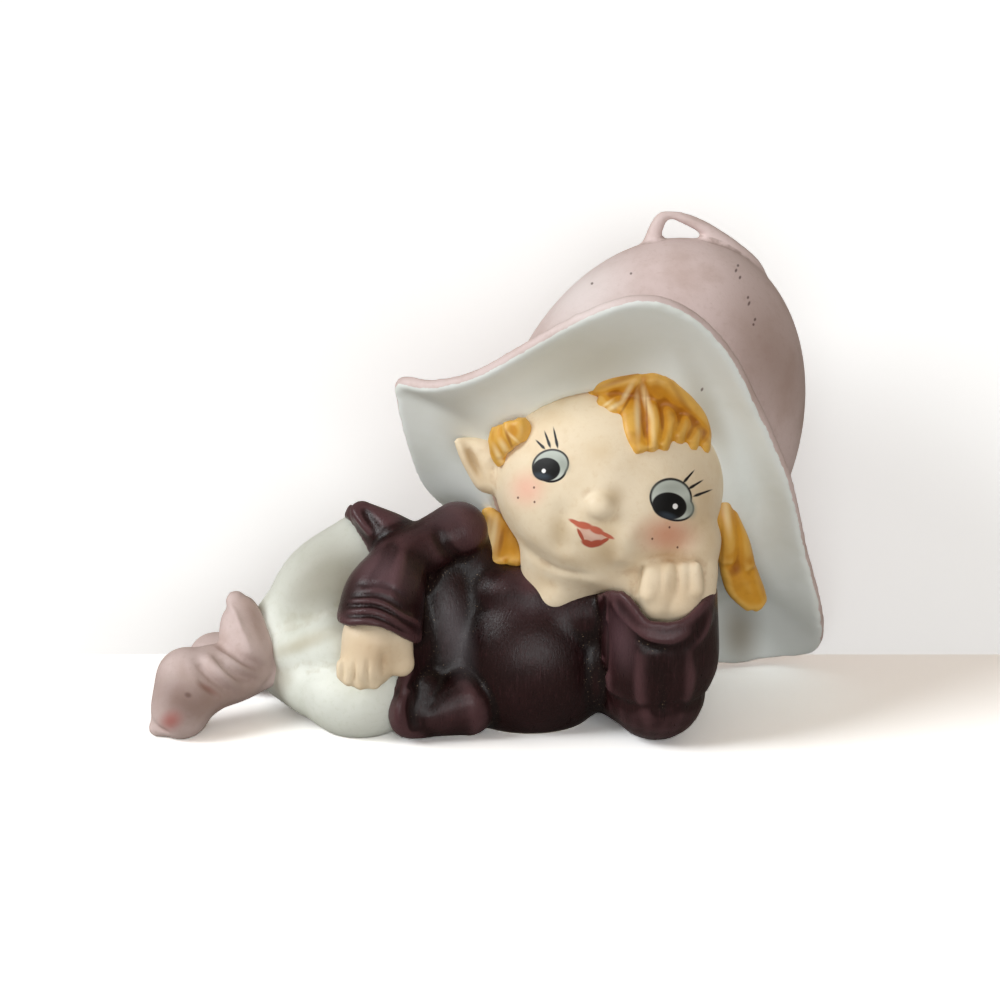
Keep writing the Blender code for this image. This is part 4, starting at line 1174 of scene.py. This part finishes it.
def hat_paint(piece):
    finish = bisque(
        "dusty pink felt", (226, 207, 204), (200, 176, 168), 0.55,
        fold_colour=(150, 126, 116), fold_share=0.5,
    )
    brush = Brush(finish, tree_of(piece))
    # Shade and shine of the photograph's light, laid on as paint
    brush.stroke((146, 118, 104), (742, 300), (800, 420), 10.0, 0.98, share=0.65)
    brush.stroke((250, 243, 242), (556, 322), (606, 264), 9.0, 0.98, share=0.6)
    lining = finish.add("ShaderNodeAttribute", attribute_name="lining").outputs["Fac"]
    wobble = finish.times(finish.number("SUBTRACT", finish.noise(1.5, 3), 0.5), 0.5)
    inside = finish.fade(finish.number("ADD", lining, wobble), -0.45, -0.60)
    pale = finish.fade(finish.noise(9.0, 4), 0.40, 0.75)
    finish.over((246, 251, 248), inside)
    finish.over((222, 227, 216), finish.times(inside, pale, 0.3))
    # Shade of the same kind on the lining
    for tone, start, end, width, share in (
        ((196, 190, 174), (448, 412), (478, 448), 5.5, 0.6),
        ((190, 182, 160), (540, 378), (650, 352), 7.0, 0.6),
        ((150, 140, 122), (738, 606), (742, 660), 5.0, 0.8),
        ((186, 178, 156), (690, 372), (724, 450), 3.0, 0.5),
    ):
        finish.over(tone, finish.times(inside, share, brush.oval(start, end, width, 0.98)))
    for x, y, r in ((738, 265, 0.22), (736, 270, 0.3), (740, 277, 0.28), (748, 297, 0.24), (749, 303, 0.36),
                    (755, 319, 0.26), (753.5, 324, 0.2), (702, 389, 0.26), (592, 283, 0.2), (631, 273, 0.18)):
        brush.stroke((84, 56, 54), (x - 1, y), (x + 1, y + 1), r * 2, 0.5, share=0.8)
    return finish.done(0.022)


def dress():
    tunic = make_tunic()
    skin = make_skin(tunic)
    hat = make_hat()
    pieces = {
        "hat": (hat, hat_paint, 0.0, 30),
        "skin": (skin, skin_paint, 0.01, 30),
        "hair": (make_hair(skin, hat), hair_paint, 0.02, 24),
        "tunic": (tunic, tunic_paint, 0.0, 30),
        "trousers": (make_trousers(), trouser_paint, 0.03, 30),
        "boots": (make_boots(), boot_paint, 0.0, 30),
    }
    for name, (piece, paint, level, passes) in pieces.items():
        stand_on_table(piece, level)
        keep_relief(piece, passes)
        piece.name = name
        piece.data.materials.clear()
        piece.data.materials.append(paint(piece))
        piece.data.shade_smooth()
        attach(piece, "root")
        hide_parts(NODE)
        print(name, len(piece.data.polygons), "faces")


# Studio

def white_paper(name, glow, tint, see_through_back=False):
    """Paper that shows white to the camera and still takes the shadow. It throws little light back."""
    paper = bpy.data.materials.new(name)
    paper.use_nodes = True
    nodes, join = paper.node_tree.nodes, paper.node_tree.links.new
    shader = nodes["Principled BSDF"]
    shader.inputs["Roughness"].default_value = 0.9
    shader.inputs["Specular IOR Level"].default_value = 0.1
    shader.inputs["Emission Color"].default_value = (1, 1, 1, 1)
    seen = nodes.new("ShaderNodeLightPath").outputs["Is Camera Ray"]
    tone = nodes.new("ShaderNodeMix")
    tone.data_type = "RGBA"
    join(seen, tone.inputs[0])
    tone.inputs[6].default_value = BOUNCE
    tone.inputs[7].default_value = (tint, tint, tint, 1)
    join(tone.outputs[2], shader.inputs["Base Color"])
    strength = nodes.new("ShaderNodeMath")
    strength.operation = "MULTIPLY"
    join(seen, strength.inputs[0])
    strength.inputs[1].default_value = glow
    join(strength.outputs[0], shader.inputs["Emission Strength"])
    if see_through_back:
        mix = nodes.new("ShaderNodeMixShader")
        join(nodes.new("ShaderNodeNewGeometry").outputs["Backfacing"], mix.inputs[0])
        join(shader.outputs[0], mix.inputs[1])
        join(nodes.new("ShaderNodeBsdfTransparent").outputs[0], mix.inputs[2])
        join(mix.outputs[0], nodes["Material Output"].inputs[0])
    return paper


def studio():
    bpy.ops.mesh.primitive_plane_add(size=6)
    floor = bpy.context.active_object
    floor.name = "floor"
    floor.data.materials.append(white_paper("white paper", FLOOR_GLOW, FLOOR_TINT))

    # A sheet close behind, square to the front view, takes the shadow beside the hat
    backdrop = bpy.data.objects.new("backdrop", bpy.data.meshes.new("backdrop"))
    low = Vector((0, BACKDROP_DEPTH / math.cos(VIEW_RISE), 0))
    corners = [low + Vector((side * 3000, 0, 0)) + UPWARD * up for up in (0, 3000) for side in (-1, 1)]
    backdrop.data.from_pydata([c * MM for c in corners], [], [(0, 1, 3, 2)])
    link(backdrop)
    paper = white_paper("backdrop paper", BACKDROP_GLOW, BACKDROP_TINT, see_through_back=True)
    backdrop.data.materials.append(paper)
    backdrop.visible_diffuse = False
    backdrop.visible_glossy = False
    backdrop.visible_shadow = False

    world = bpy.data.worlds.new("room")
    bpy.context.scene.world = world
    world.use_nodes = True
    tree = world.node_tree
    room = tree.nodes["Background"]
    room.inputs["Color"].default_value = ROOM_COLOUR
    room.inputs["Strength"].default_value = ROOM_STRENGTH
    white = tree.nodes.new("ShaderNodeBackground")
    white.inputs["Color"].default_value = (1, 1, 1, 1)
    white.inputs["Strength"].default_value = 1.0
    mix = tree.nodes.new("ShaderNodeMixShader")
    tree.links.new(tree.nodes.new("ShaderNodeLightPath").outputs["Is Camera Ray"], mix.inputs[0])
    tree.links.new(room.outputs[0], mix.inputs[1])
    tree.links.new(white.outputs[0], mix.inputs[2])
    tree.links.new(mix.outputs[0], tree.nodes["World Output"].inputs[0])

    for name, place, energy, spread in LAMPS:
        lamp = bpy.data.lights.new(name, "SUN")
        lamp.energy = energy
        lamp.angle = math.radians(spread)
        lamp.color = LAMP_COLOUR
        placed = link(bpy.data.objects.new(name, lamp))
        placed.location = place
        placed.rotation_euler = (-placed.location).to_track_quat("-Z", "Y").to_euler()

    camera = link(bpy.data.objects.new("camera", bpy.data.cameras.new("camera")))
    camera.location = EYE * MM
    camera.rotation_euler = FORWARD.to_track_quat("-Z", "Y").to_euler()
    camera.data.sensor_width = 36
    camera.data.lens = 36 * VIEW_SCALE / VIEW_FRAME
    camera.data.clip_start = 0.01
    bpy.context.scene.camera = camera
    bpy.context.scene.view_settings.view_transform = "Standard"


dress()
studio()
